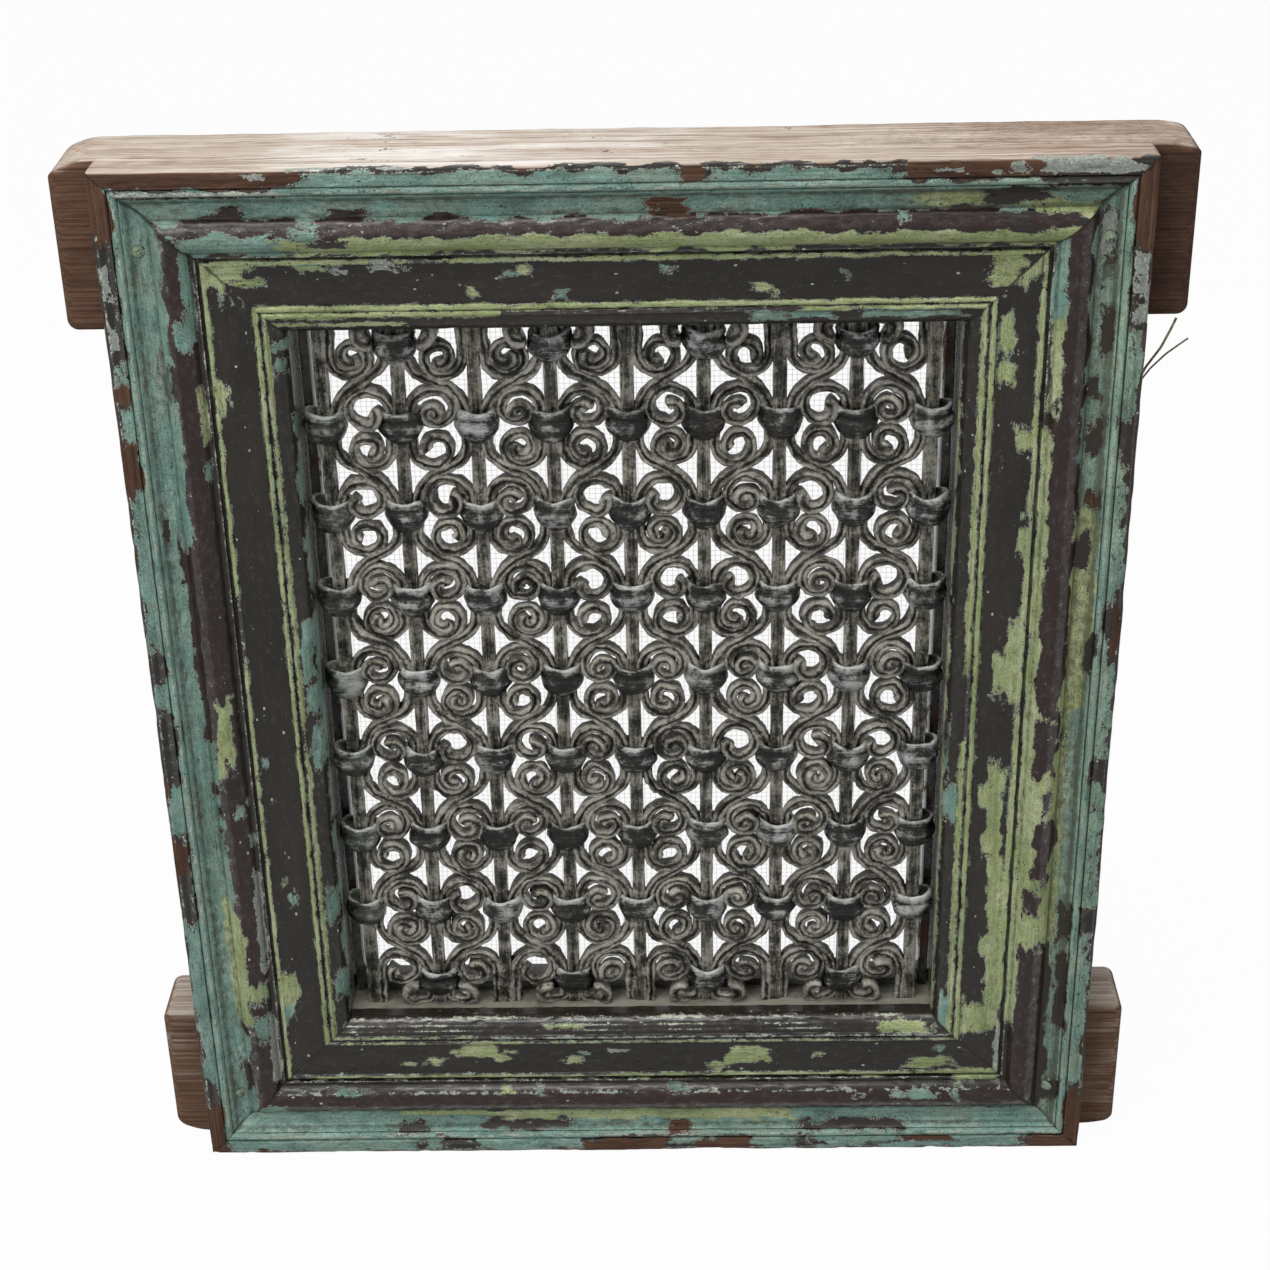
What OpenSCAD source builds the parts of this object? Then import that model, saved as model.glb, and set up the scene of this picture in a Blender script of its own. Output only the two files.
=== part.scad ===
// Window jali: a hand-forged iron grille set in a moulded timber window frame.
// Millimetres. +Z is up, the moulded face looks along -Y, and the origin lies
// on the floor under the middle of the sill.

/* [Grille] */
// Distance between neighbouring bars, middle to middle
bar_pitch = 58; // [57:0.5:62]
// Distance between neighbouring rows, middle to middle
row_pitch = 74.5; // [73:0.5:82]
// Side of the square upright bars
bar_side = 11; // [9:0.5:12]
// How far the bars are let into the head and the sill
bar_let_in = 20; // [12:1:30]
// How far the grille's middle lies behind the front of the frame
grille_set_back = 50; // [44:1:60]

/* [Strap] */
// Thickness of the forged strap, across the curl
strap_t = 5; // [3.5:0.25:5.5]
// Depth of the forged strap, front to back
strap_w = 11; // [8:0.5:12]
// Angle by which a serpentine strap swings away from its bar
sway_angle = 62; // [58:1:66]
// Radius of the bend by which a serpentine strap leaves a collar
leave_r = 22; // [18:0.5:24]
// Radius of the first bend of a serpentine strap's end curl
end_bend_r = 5; // [4:0.5:5.5]
// Straight run of a serpentine strap's end curl
end_run = 7; // [6:0.5:8]
// Radius of the round part of a serpentine strap's end curl
end_curl_r = 7; // [6.5:0.25:7.5]

/* [Scrolls] */
// Free light between an upper curl and the strap facing it
upper_light = 5.5; // [4:0.5:9]
// Free light between a lower curl and the strap facing it
lower_light = 8; // [6:0.5:11]
// Height of an upper curl's crown above its collar's middle
upper_crown = 33; // [30:0.5:33.5]
// Depth of a lower curl's crown below its collar's middle
lower_crown = 28.5; // [24:0.5:28.5]
// Strap thickness left at the tip of a curl
tip_t = 3.6; // [2.5:0.1:5]
// Depth to which the half scrolls' straight ends are let into the timber
scroll_let_in = 12; // [6:1:18]

/* [Collars] */
// Width of a collar
collar_w = 32; // [28:0.5:34]
// Depth of a collar, front to back
collar_d = 20; // [17:0.5:24]
// Height of a collar
collar_h = 19; // [16:0.5:20]
// Radius of a collar's rounded underside
collar_bowl_r = 20; // [19:0.5:23]
// Depth of the dish in a collar's top
dish = 3; // [1:0.25:4]

/* [Frame] */
// Width of the face of each frame member
member_w = 131; // [131:1:160]
// Depth of the frame, front to back
frame_d = 93; // [85:1:110]
// Light between the outermost collars and the stiles
side_light = 2; // [1:0.5:10]
// Distance of the first and last row from the head and the sill
row_light = 17; // [17:0.5:30]
// How far the horns of the head and the sill stand out past the stiles
horn_out = 35; // [20:1:60]
// Depth of the mitred front layer, which is also the horns' set-back
mitre_d = 32; // [30:1:36]

/* [Joints] */
// Thickness of the stiles' tenons
tenon_t = 20; // [14:1:24]
// Width of the stiles' tenons
tenon_w = 100; // [90:1:105]
// Length of the stiles' tenons
tenon_len = 90; // [50:1:110]
// Extra depth of a mortise past its tenon
mortise_spare = 2; // [1:0.5:6]
// Diameter of the pegs that pin the tenons
peg_dia = 10; // [7:0.5:13]
// Distance of a peg from the outer side of its stile
peg_in = 31; // [28:1:60]
// Distance of a peg from the outer side of the head or the sill
peg_up = 62; // [54:1:80]

/* [Fly screen] */
// Width of the rebate at the back of the opening
rebate_w = 12; // [10:1:20]
// Depth of the rebate at the back of the opening
rebate_d = 4; // [3:0.5:8]
// Gap between the edge of the screen and the rebate
screen_play = 0.5; // [0.3:0.1:2]
// Thickness of the wire screen
screen_t = 1; // [0.6:0.1:2]
// How far the stops in front of the screen stand into the opening
stop_w = 9; // [6:0.5:9.5]
// Width of one strand of the screen
strand_w = 1; // [0.6:0.1:2]
// Diameter of a tack's head
tack_head_d = 7; // [4:0.5:8]
// Height of a tack's head
tack_head_h = 1.2; // [0.8:0.1:1.6]
// Diameter of a tack's shank
tack_shank_d = 1.8; // [1.2:0.1:2.4]
// How far a tack goes into the timber
tack_in = 9; // [5:0.5:14]
// Greatest distance between two tacks
tack_pitch = 110; // [70:5:160]

/* [Hidden] */

// Upright bars, and rows of crossings with the top and bottom ones
bars = 9;
rows = 9;
// Clearance between the collars and the stops behind them
stop_play = 3;
// Gaps that the screen shows across and up
mesh_cols = 15;
mesh_rows = 19;

// Quarter bends of a curl, each radius as a share of the curl's reach
curl_shares = [0.54, 0.46, 0.40, 0.285, 0.22, 0.16, 0.115];
// Fewest quarter bends that a curl is given, and how many counts chance picks from
fewest_bends = 5;
bend_choices = 3;
// Least turn of a curl's last bend, and how much chance adds to it
last_bend = 40;
last_bend_spread = 45;
// End curl of a serpentine strap: later bends as shares of its radius, and its last turn
end_shares = [0.85, 0.65];
end_last_bend = 40;
// Path points over which the tip of a strap thins out
taper_points = 6;
// Multipliers of the repeatable chance that sets one curl apart from the next
chance = [127.1, 311.7, 74.7, 437.58];
// Turn of one facet on the forged curves, in degrees
facet_turn = 24;
// Turn of one facet on the mouldings, in degrees
mould_turn = 15;
// Hair's breadth that keeps a rounded count or a half-round bead well defined
hair = 0.001;
bead_spare = 0.05;
// How far a cutting shape reaches past the face that it cuts
over = 1;
// Flat rim left round the dish of a collar at its widest
dish_rim = 1;

// Moulding, as [distance from the outer edge, depth behind the front]
fillet_end = 14;
bead_d = 6.5;
cove_start = [21.5, 3];
cove_end = [39, 10.5];
cove_r = 17;
torus_end = [66, 12.5];
torus_r = 14.4;
step_end = 70;
quirk_end = 72.5;
quirk_depth = 16.5;
lip_end = 76.5;
lip_depth = 13.3;
field_depth = 14.3;
reeds_from_inner = 23.5;
reed_d = 5.2;
nose_r = 13;

// Openings and overall sizes
opening_w = (bars - 1) * bar_pitch + collar_w + 2 * side_light;
opening_h = (rows - 1) * row_pitch + 2 * row_light;
face_w = opening_w + 2 * member_w;
face_h = opening_h + 2 * member_w;
front_y = -frame_d / 2;
grille_y = front_y + grille_set_back;

// Middle of a strap that lies against its bar
strap_off = bar_side / 2 + strap_t / 2;

// Serpentine between two collars: two bends with a straight between them
sway_x = bar_pitch - 2 * strap_off;
sway_z = row_pitch - collar_h;
bend_sum = (sway_z * sin(sway_angle) - sway_x * cos(sway_angle)) / (1 - cos(sway_angle));
sway_run = (sway_x - bend_sum * (1 - cos(sway_angle))) / sin(sway_angle);

// Width that the two first bends of a curl fill together
upper_reach = bar_pitch - 2 * strap_off - strap_t - upper_light;
lower_reach = bar_pitch - 2 * strap_off - strap_t - lower_light;

function bar_x(b) = (b - (bars + 1) / 2) * bar_pitch;
function row_z(r) = face_h / 2 + ((rows - 1) / 2 - r) * row_pitch;
function is_even(n) = n % 2 == 0;

// Repeatable hand-made difference between 0 and 1 for one curl
function hand(b, r, k) =
    let (v = sin(chance[0] * b + chance[1] * r + chance[2] * k) * chance[3]) v - floor(v);

// A pose is [x, z, heading]; a move is [radius, turn], or [0, length] for a straight
function moved(p, m, f) =
    m[0] == 0
    ? [p[0] + f * m[1] * cos(p[2]), p[1] + f * m[1] * sin(p[2]), p[2]]
    : let (r = m[1] > 0 ? m[0] : -m[0], h = p[2] + f * m[1])
      [p[0] + r * (sin(h) - sin(p[2])), p[1] + r * (cos(p[2]) - cos(h)), h];
function pieces(m, turn) = m[0] == 0 ? 1 : ceil(abs(m[1]) / turn - hair);
function walk(p, moves, turn, i = 0) =
    i == len(moves)
    ? []
    : let (n = pieces(moves[i], turn))
      concat([for (k = [1 : n]) moved(p, moves[i], k / n)],
             walk(moved(p, moves[i], 1), moves, turn, i + 1));
function spots(poses) = [for (p = poses) [p[0], p[1]]];
function reversed(list) = [for (i = [len(list) - 1 : -1 : 0]) list[i]];
function flipped(list, on) = [for (p = list) [on ? -p[0] : p[0], p[1]]];
function shifted(list, x, z) = [for (p = list) [p[0] + x, p[1] + z]];

// Unit normal of a path at one of its points
function normal_at(path, i) =
    let (a = path[max(i - 1, 0)], b = path[min(i + 1, len(path) - 1)], d = b - a)
    [-d[1], d[0]] / norm(d);

// Outline of a strap whose tips thin out over their last few points
function half_t(i, n) = let (left = min(i, n - 1 - i))
    (left >= taper_points ? strap_t : tip_t + (strap_t - tip_t) * left / taper_points) / 2;
function strap_outline(path, thin_start, thin_end) =
    let (n = len(path),
         t = [for (i = [0 : n - 1])
              (i < n / 2 ? thin_start : thin_end) ? half_t(i, n) : strap_t / 2])
    concat([for (i = [0 : n - 1]) path[i] + t[i] * normal_at(path, i)],
           [for (i = [n - 1 : -1 : 0]) path[i] - t[i] * normal_at(path, i)]);

// Points of an arc from p to q, bulging to the left of the way for r > 0
function arc_between(p, q, r) =
    let (d = q - p, c = norm(d), s = sign(r), h = sqrt(r * r - c * c / 4),
         m = (p + q) / 2 + s * h * [d[1], -d[0]] / c,
         a0 = atan2(p[1] - m[1], p[0] - m[0]),
         a = 2 * asin(c / 2 / abs(r)),
         n = ceil(a / mould_turn))
    [for (k = [0 : n]) m + abs(r) * [cos(a0 - s * a * k / n), sin(a0 - s * a * k / n)]];

// Front of the moulding from the outer edge to the opening
function moulding() =
    let (w = member_w,
         bead_0 = [fillet_end, cove_start[1]],
         bead_1 = [fillet_end + bead_d, cove_start[1]],
         reed_0 = [w - reeds_from_inner, field_depth],
         reed_1 = reed_0 + [reed_d, 0],
         reed_2 = reed_1 + [reed_d, 0])
    concat(
        [[0, 0], [fillet_end, 0]],
        arc_between(bead_0, bead_1, -bead_d / 2 - bead_spare),
        arc_between(cove_start, cove_end, cove_r),
        arc_between(cove_end, torus_end, -torus_r),
        [[step_end, torus_end[1]], [step_end, quirk_depth], [quirk_end, quirk_depth],
         [quirk_end, lip_depth], [lip_end, lip_depth], [lip_end, field_depth]],
        arc_between(reed_0, reed_1, -reed_d / 2 - bead_spare),
        arc_between(reed_1, reed_2, -reed_d / 2 - bead_spare),
        arc_between([w - nose_r, field_depth], [w, field_depth + nose_r], -nose_r));

// Cross-section of a member, with the rebate for the screen at its back
module section() {
    front = moulding();
    polygon(concat([for (p = front) [p[1], p[0]]],
                   [[frame_d - rebate_d, member_w],
                    [frame_d - rebate_d, member_w - rebate_w],
                    [frame_d, member_w - rebate_w],
                    [frame_d, 0]]));
}

// A moulded length along X whose outer edge lies on Z = 0
module moulded_length(length) {
    translate([0, front_y, 0])
        rotate([90, 0, 90])
            linear_extrude(height = length, center = true) section();
}

// Front layer of a member, mitred from its outer corners to the opening
module mitred_layer(length) {
    translate([0, front_y + mitre_d, 0])
        rotate([90, 0, 0])
            linear_extrude(height = mitre_d + over)
                polygon([[-length / 2, 0], [length / 2, 0],
                         [length / 2 - member_w, member_w], [member_w - length / 2, member_w]]);
}

// A rail laid as the sill: its back layer runs through and forms the horns
module rail_blank() {
    through = face_w + 2 * horn_out;
    intersection() {
        moulded_length(through);
        union() {
            mitred_layer(face_w);
            translate([-through / 2, front_y + mitre_d, 0])
                cube([through, frame_d - mitre_d, member_w]);
        }
    }
}

// Tenon, or the mortise that takes it, at both ends of a stile laid as the sill
module tenons(spare) {
    reach = opening_h + 2 * (tenon_len + spare);
    translate([-reach / 2, tenon_y(), (member_w - tenon_w) / 2])
        cube([reach, tenon_t, tenon_w]);
}
function tenon_y() = front_y + mitre_d + (frame_d - mitre_d - tenon_t) / 2;

module stile_blank() {
    intersection() {
        moulded_length(face_h);
        union() {
            mitred_layer(face_h);
            translate([-opening_h / 2, front_y + mitre_d, 0])
                cube([opening_h, frame_d - mitre_d, member_w]);
            tenons(0);
        }
    }
}

// Turns a length that was laid as the sill into the stile on one side
module stand_up(side) {
    translate([side * face_w / 2, 0, face_h / 2])
        rotate([0, -side * 90, 0]) children();
}

// Pockets in the head and the sill for the bars and the half scrolls beside them
module grille_pockets() {
    for (b = [1 : bars]) {
        bar(b);
        if (!is_even(b))
            for (side = [-1, 1])
                if (scroll_fits(b, side))
                    translate([bar_x(b) + side * strap_off, grille_y, face_h / 2])
                        cube([strap_t, strap_w, opening_h + 2 * scroll_let_in], center = true);
    }
}
function scroll_fits(b, side) = b + side >= 1 && b + side <= bars;

// One peg at each corner, through the tenon
module pegs(length) {
    for (sx = [-1, 1])
        for (sz = [-1, 1])
            translate([sx * (face_w / 2 - peg_in), front_y + frame_d,
                       face_h / 2 + sz * (face_h / 2 - peg_up)])
                rotate([90, 0, 0]) cylinder(h = length, d = peg_dia, $fn = 48);
}

module head_rail() {
    color("#6b4a35")
        difference() {
            translate([0, 0, face_h]) mirror([0, 0, 1]) rail_blank();
            rail_cuts();
        }
}

module sill_rail() {
    color("#6b4a35")
        difference() {
            rail_blank();
            rail_cuts();
        }
}

module rail_cuts() {
    for (side = [-1, 1])
        stand_up(side) tenons(mortise_spare);
    grille_pockets();
    pegs(frame_d + over);
    tack_shanks();
}

module stile(side) {
    color("#6f9a86")
        difference() {
            stand_up(side) stile_blank();
            pegs(frame_d + over);
            tack_shanks();
        }
}

// The pegs' ends are trimmed flush with the moulding and the back
module corner_pegs() {
    color("#5a3a28")
        intersection() {
            pegs(frame_d + over);
            for (side = [-1, 1]) stand_up(side) moulded_length(face_h);
        }
}

module bar(b) {
    color("#5c574d")
        translate([bar_x(b), grille_y, face_h / 2])
            cube([bar_side, bar_side, opening_h + 2 * bar_let_in], center = true);
}

// Bends a flat outline of X and Z points into a strap that stands in the grille
module forged(path, thin_start, thin_end) {
    translate([0, grille_y, 0])
        rotate([90, 0, 0])
            linear_extrude(height = strap_w, center = true)
                polygon(strap_outline(path, thin_start, thin_end));
}

// Way from the foot of one collar to the head of the next one, down and to the right
function sway_path() = walk([0, 0, -90],
    [[leave_r, sway_angle], [0, sway_run], [bend_sum - leave_r, -sway_angle]], facet_turn);

// End curl of a serpentine strap, up out of a collar and out to the right
function end_curl() =
    let (r = end_curl_r)
    concat([[0, 0, 90]],
           walk([0, 0, 90],
                [[end_bend_r, -90], [0, end_run], [r, -90],
                 [end_shares[0] * r, -90], [end_shares[1] * r, -end_last_bend]],
                facet_turn));

// Serpentine strap in the gap between bar g and the next, seen from bar g
function on_right(g, r) = !is_even(g + r);
function strap_x(g, r) = on_right(g, r) ? bar_pitch - strap_off : strap_off;
function serpentine_path(g) =
    let (top = row_z(0) + collar_h / 2, foot = row_z(rows - 1) - collar_h / 2,
         curl = spots(end_curl()),
         upper = [for (p = shifted(flipped(curl, on_right(g, 0)), strap_x(g, 0), top)) p],
         lower = [for (p = flipped(curl, on_right(g, rows - 1)))
                  [strap_x(g, rows - 1) + p[0], foot - p[1]]],
         sways = [for (r = [0 : rows - 2])
                  let (way = flipped(spots(sway_path()), on_right(g, r)),
                       z = row_z(r) - collar_h / 2)
                  each concat([[strap_x(g, r), z]], shifted(way, strap_x(g, r), z))])
    concat(reversed(upper), sways, lower);

module serpentine(g) {
    color("#645e54")
        translate([bar_x(g), 0, 0]) forged(serpentine_path(g), true, true);
}

// Curl from its bar outwards and over, as quarter bends that tighten
function curl_path(b, r, side, reach, crown) =
    let (first = curl_shares[0] * reach,
         bends = fewest_bends + floor(hand(b, r, side) * bend_choices),
         last_turn = last_bend + last_bend_spread * hand(b, r, 3 + side),
         start = [strap_off, crown - first, 90],
         moves = [for (k = [0 : bends - 1])
                  [curl_shares[k] * reach, k == bends - 1 ? -last_turn : -90]])
    spots(concat([start], walk(start, moves, facet_turn)));

// One scroll beside bar b at row r; the end rows have only the curl that fits
function scroll_path(b, r, side) =
    let (up = curl_path(b, r, side, upper_reach, upper_crown),
         down = [for (p = curl_path(b, r, 10 + side, lower_reach, lower_crown)) [p[0], -p[1]]],
         let_in = row_light + scroll_let_in)
    r == 0 ? concat([[strap_off, let_in]], down)
    : r == rows - 1 ? concat([[strap_off, -let_in]], up)
    : concat(reversed(up), down);

module scrolls(b) {
    color("#645e54")
        for (r = [0 : rows - 1])
            if (!is_even(b + r))
                for (side = [-1, 1])
                    if (scroll_fits(b, side))
                        translate([bar_x(b), 0, row_z(r)])
                            mirror([side < 0 ? 1 : 0, 0, 0])
                                forged(scroll_path(b, r, side), r > 0 && r < rows - 1, true);
}

// Bowl-shaped collar with a dished top, round the bar and the straps beside it
module collar(left, right) {
    bundle = bar_side + (left ? strap_t : 0) + (right ? strap_t : 0);
    bundle_x = ((right ? strap_t : 0) - (left ? strap_t : 0)) / 2;
    dish_r = (pow(collar_w / 2 - dish_rim, 2) + dish * dish) / (2 * dish);
    difference() {
        intersection() {
            linear_extrude(height = collar_h, center = true) {
                square([collar_w - collar_d, collar_d], center = true);
                for (s = [-1, 1])
                    translate([s * (collar_w - collar_d) / 2, 0]) circle(d = collar_d, $fn = 64);
            }
            translate([0, 0, collar_h / 2]) sphere(r = collar_bowl_r, $fn = 64);
        }
        translate([bundle_x, 0, 0])
            cube([bundle, max(strap_w, bar_side), 2 * collar_h], center = true);
        translate([0, 0, collar_h / 2 + dish_r - dish]) sphere(r = dish_r, $fn = 96);
    }
}

module collars(b) {
    color("#3e4340")
        for (r = [0 : rows - 1])
            if ((r > 0 && r < rows - 1) || is_even(b))
                translate([bar_x(b), grille_y, row_z(r)])
                    collar(scroll_fits(b, -1), scroll_fits(b, 1));
}

// Square battens round the opening, between the grille and the screen
function stop_from() = grille_set_back + collar_d / 2 + stop_play;
module stop_batten(length, depth) {
    color("#4d4234")
        translate([0, front_y + stop_from() + depth / 2, 0])
            cube([stop_w, depth, length], center = true);
}
function stop_depth() = frame_d - rebate_d - stop_from();

// The side stops run through from head to sill
module side_stop(side) {
    translate([side * (opening_w - stop_w) / 2, 0, face_h / 2])
        stop_batten(opening_h, stop_depth());
}

// The head's and the sill's stops stand between them
module cross_stop(side) {
    translate([0, 0, face_h / 2 + side * (opening_h - stop_w) / 2])
        rotate([0, 90, 0]) stop_batten(opening_w - 2 * stop_w, stop_depth());
}

// Wire screen in the rebate behind the grille
module fly_screen() {
    screen_w = opening_w + 2 * (rebate_w - screen_play);
    screen_h = opening_h + 2 * (rebate_w - screen_play);
    step_x = (opening_w + strand_w) / mesh_cols;
    step_z = (opening_h + strand_w) / mesh_rows;
    color("#b8b6ae")
        difference() {
            translate([0, front_y + frame_d - rebate_d + screen_t, face_h / 2])
                rotate([90, 0, 0])
                    linear_extrude(height = screen_t)
                        difference() {
                            square([screen_w, screen_h], center = true);
                            for (i = [0 : mesh_cols - 1])
                                for (j = [0 : mesh_rows - 1])
                                    translate([(i - (mesh_cols - 1) / 2) * step_x,
                                               (j - (mesh_rows - 1) / 2) * step_z])
                                        square([step_x - strand_w, step_z - strand_w],
                                               center = true);
                        }
            tack_shanks();
        }
}

// Places of the tacks round the rebate, as [x, z] from the middle of the opening
function tack_spots() =
    let (w = opening_w + rebate_w, h = opening_h + rebate_w,
         nx = ceil(w / tack_pitch), nz = ceil(h / tack_pitch))
    concat([for (i = [0 : nx]) for (s = [-1, 1]) [w * (i / nx - 0.5), s * h / 2]],
           [for (i = [1 : nz - 1]) for (s = [-1, 1]) [s * w / 2, h * (i / nz - 0.5)]]);

// Cylinders along Y at the tacks, reaching from one depth to another
module at_tacks(from_d, to_d, dia) {
    for (p = tack_spots())
        translate([p[0], front_y + to_d, face_h / 2 + p[1]])
            rotate([90, 0, 0]) cylinder(h = to_d - from_d, d = dia, $fn = 32);
}

module tack_shanks() {
    screen_back = frame_d - rebate_d + screen_t;
    at_tacks(frame_d - rebate_d - tack_in, screen_back, tack_shank_d);
}

module screen_tacks() {
    screen_back = frame_d - rebate_d + screen_t;
    color("#5a564e") {
        tack_shanks();
        at_tacks(screen_back, screen_back + tack_head_h, tack_head_d);
    }
}

head_rail();
sill_rail();
stile(-1);  // stile_left
stile(1);  // stile_right
corner_pegs();
for (b = [1 : bars])
    bar(b);
for (g = [1 : bars - 1])
    serpentine(g);
for (b = [1 : bars])
    scrolls(b);
for (b = [1 : bars])
    collars(b);
side_stop(-1);  // stop_left
side_stop(1);  // stop_right
cross_stop(1);  // stop_head
cross_stop(-1);  // stop_sill
fly_screen();
screen_tacks();
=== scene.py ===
# %% [markdown]
# # An old window jali
#
# This lesson dresses a window jali: a hand-forged iron grille in a moulded and mitred timber frame, with
# many coats of old paint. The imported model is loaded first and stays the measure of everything. Each new
# piece is made in the same place, in metres, with +Z up and the moulded face looking along -Y.

# %% Load the frame
from types import SimpleNamespace

import bpy
import numpy as np
from mathutils import Matrix, Vector


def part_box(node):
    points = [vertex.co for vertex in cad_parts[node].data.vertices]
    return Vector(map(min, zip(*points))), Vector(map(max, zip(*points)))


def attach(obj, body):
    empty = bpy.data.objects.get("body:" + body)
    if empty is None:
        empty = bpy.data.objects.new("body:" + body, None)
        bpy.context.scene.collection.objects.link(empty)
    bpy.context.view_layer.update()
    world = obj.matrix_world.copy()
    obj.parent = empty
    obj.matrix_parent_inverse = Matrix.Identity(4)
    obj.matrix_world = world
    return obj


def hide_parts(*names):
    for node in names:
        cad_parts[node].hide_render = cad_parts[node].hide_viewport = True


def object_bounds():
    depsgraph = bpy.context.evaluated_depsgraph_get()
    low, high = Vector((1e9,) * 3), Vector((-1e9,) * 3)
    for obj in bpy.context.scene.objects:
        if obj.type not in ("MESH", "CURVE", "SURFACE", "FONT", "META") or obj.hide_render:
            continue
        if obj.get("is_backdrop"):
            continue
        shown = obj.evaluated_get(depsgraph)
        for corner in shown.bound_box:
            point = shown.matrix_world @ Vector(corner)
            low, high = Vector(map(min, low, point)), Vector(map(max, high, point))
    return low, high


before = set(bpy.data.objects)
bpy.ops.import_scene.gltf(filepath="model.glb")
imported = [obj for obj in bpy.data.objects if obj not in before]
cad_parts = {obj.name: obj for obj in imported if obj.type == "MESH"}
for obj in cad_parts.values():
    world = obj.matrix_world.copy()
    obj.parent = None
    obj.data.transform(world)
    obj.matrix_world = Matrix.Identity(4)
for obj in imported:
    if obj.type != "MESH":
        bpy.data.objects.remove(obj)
CAD_BOX = [list(corner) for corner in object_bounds()]
print("Nodes loaded:", len(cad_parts))

# %% [markdown]
# ## Sizes
#
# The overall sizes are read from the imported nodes, so the looks follow the construction. They could be
# typed in again, but then a change in one place would leave the other behind. Only the shape of the
# moulding and the bends of the iron are written here, in millimetres, because a node's box doesn't hold
# them.

# %% Read the sizes
MM = 0.001
BARS = 9
ROWS = 9

sill_low, sill_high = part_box("sill_rail")
head_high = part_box("head_rail")[1]
left_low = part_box("stile_left")[0]
MEMBER_W = sill_high.z / MM
FRAME_D = (sill_high.y - sill_low.y) / MM
FRONT_Y = sill_low.y / MM
FACE_W = -2 * left_low.x / MM
FACE_H = head_high.z / MM
HORN_OUT = (-sill_low.x + left_low.x) / MM
MITRE_D = 32
OPENING_W = FACE_W - 2 * MEMBER_W
OPENING_H = FACE_H - 2 * MEMBER_W

BAR_CENTRES = [sum(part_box(f"bar_{b}"), Vector()) / 2 / MM for b in range(1, BARS + 1)]
BAR_PITCH = BAR_CENTRES[1].x - BAR_CENTRES[0].x
GRILLE_Y = BAR_CENTRES[0].y
BAR_SIDE = (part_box("bar_1")[1].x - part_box("bar_1")[0].x) / MM
collar_low, collar_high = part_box("collars_2")
COLLAR_W = (collar_high.x - collar_low.x) / MM
COLLAR_D = (collar_high.y - collar_low.y) / MM
COLLAR_H = 19
ROW_PITCH = ((collar_high.z - collar_low.z) / MM - COLLAR_H) / (ROWS - 1)
print("Face", round(FACE_W), "x", round(FACE_H), "mm")
print("Bars", round(BAR_PITCH), "mm apart, rows", round(ROW_PITCH, 1), "mm apart")

# %% [markdown]
# ## The camera
#
# The picture was taken from above and in front, at about chest height, with a slight tilt of the hand. A
# camera's turn could be set with three angles in a row. Here the three axes of the camera are worked out one
# by one, which shows what yaw, pitch and roll each do.

# %% Place the camera
CAMERA_AT = (0.0394, -1.7044, 1.4049)
YAW, PITCH, ROLL = np.radians((-1.263, 28.214, -1.282))
LENS = 68.53

forward = np.array((np.sin(YAW) * np.cos(PITCH), np.cos(YAW) * np.cos(PITCH), -np.sin(PITCH)))
level = np.array((np.cos(YAW), -np.sin(YAW), 0.0))
above = np.cross(level, forward)
right = np.cos(ROLL) * level + np.sin(ROLL) * above
up = -np.sin(ROLL) * level + np.cos(ROLL) * above
camera = bpy.data.objects.new("camera", bpy.data.cameras.new("camera"))
camera.data.lens = LENS
axes = Matrix(np.stack((right, up, -forward), 1).tolist())
camera.matrix_world = Matrix.Translation(CAMERA_AT) @ axes.to_4x4()
bpy.context.scene.collection.objects.link(camera)
bpy.context.scene.camera = camera
print("Camera", CAMERA_AT, "lens", LENS)

# %% [markdown]
# ## Irregular, but the same each time
#
# Nothing in an old hand-made thing is quite straight. Random noise would give another object at each run,
# so `ripple` adds a dozen plane waves whose directions come from a seeded generator. It works on whole
# arrays.


# %% Ripple
def ripple(points, length, seed):
    """A smooth field from about -1 to 1: the mean of 12 sine waves of random direction, whose wavelengths
    lie round the given length, in the units of the points. Points are an array whose last axis is x, y,
    z."""
    random = np.random.default_rng(seed)
    ways = random.normal(size=(12, 3))
    ways /= np.linalg.norm(ways, axis=1, keepdims=True)
    ways *= 2 * np.pi / (np.asarray(length) * random.uniform(0.6, 1.6, (12, 1)))
    return np.sin(points @ ways.T + random.uniform(0, 2 * np.pi, 12)).sum(-1) / 4.5


print("Ripple at the origin:", ripple(np.zeros(3), 50.0, 1).round(3))

# %% [markdown]
# ## From arrays to meshes
#
# Every piece below is made of closed shells. A shell is a stack of rings: an array of rings by points by
# three. Rings are joined by four-sided faces, and the first and last ring are closed by one flat face each.
# Attributes ride along with the points, so a finish can ask each spot what it is.


# %% Shells and pieces
def ring_faces(rings, around):
    """Quads of a tube: point j of ring i joins point j+1 and the same two points of ring i+1."""
    i, j = np.meshgrid(np.arange(rings - 1), np.arange(around), indexing="ij")
    k = (j + 1) % around
    near, far = i * around, (i + 1) * around
    return np.stack((near + j, near + k, far + k, far + j), -1).reshape(-1, 4)


def shell(rings, **spots):
    """A closed shell in millimetres, with the values that its points carry."""
    count, around = rings.shape[:2]
    quads = ring_faces(count, around)
    caps = [np.arange(around)[::-1], np.arange(around) + (count - 1) * around]
    points = rings.reshape(-1, 3)
    a, b, c, d = (points[quads[:, k]] for k in range(4))
    volume = np.einsum("ij,ij->", a, np.cross(b, c)) + np.einsum("ij,ij->", a, np.cross(c, d))
    for cap in caps:
        fan = points[cap]
        volume += np.einsum("j,ij->", fan[0], np.cross(fan[1:-1], fan[2:]))
    if volume < 0:
        quads, caps = quads[:, ::-1], [cap[::-1] for cap in caps]
    return {"points": points, "quads": quads, "caps": caps,
            "spots": {name: values.reshape(len(points), -1) for name, values in spots.items()}}


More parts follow.
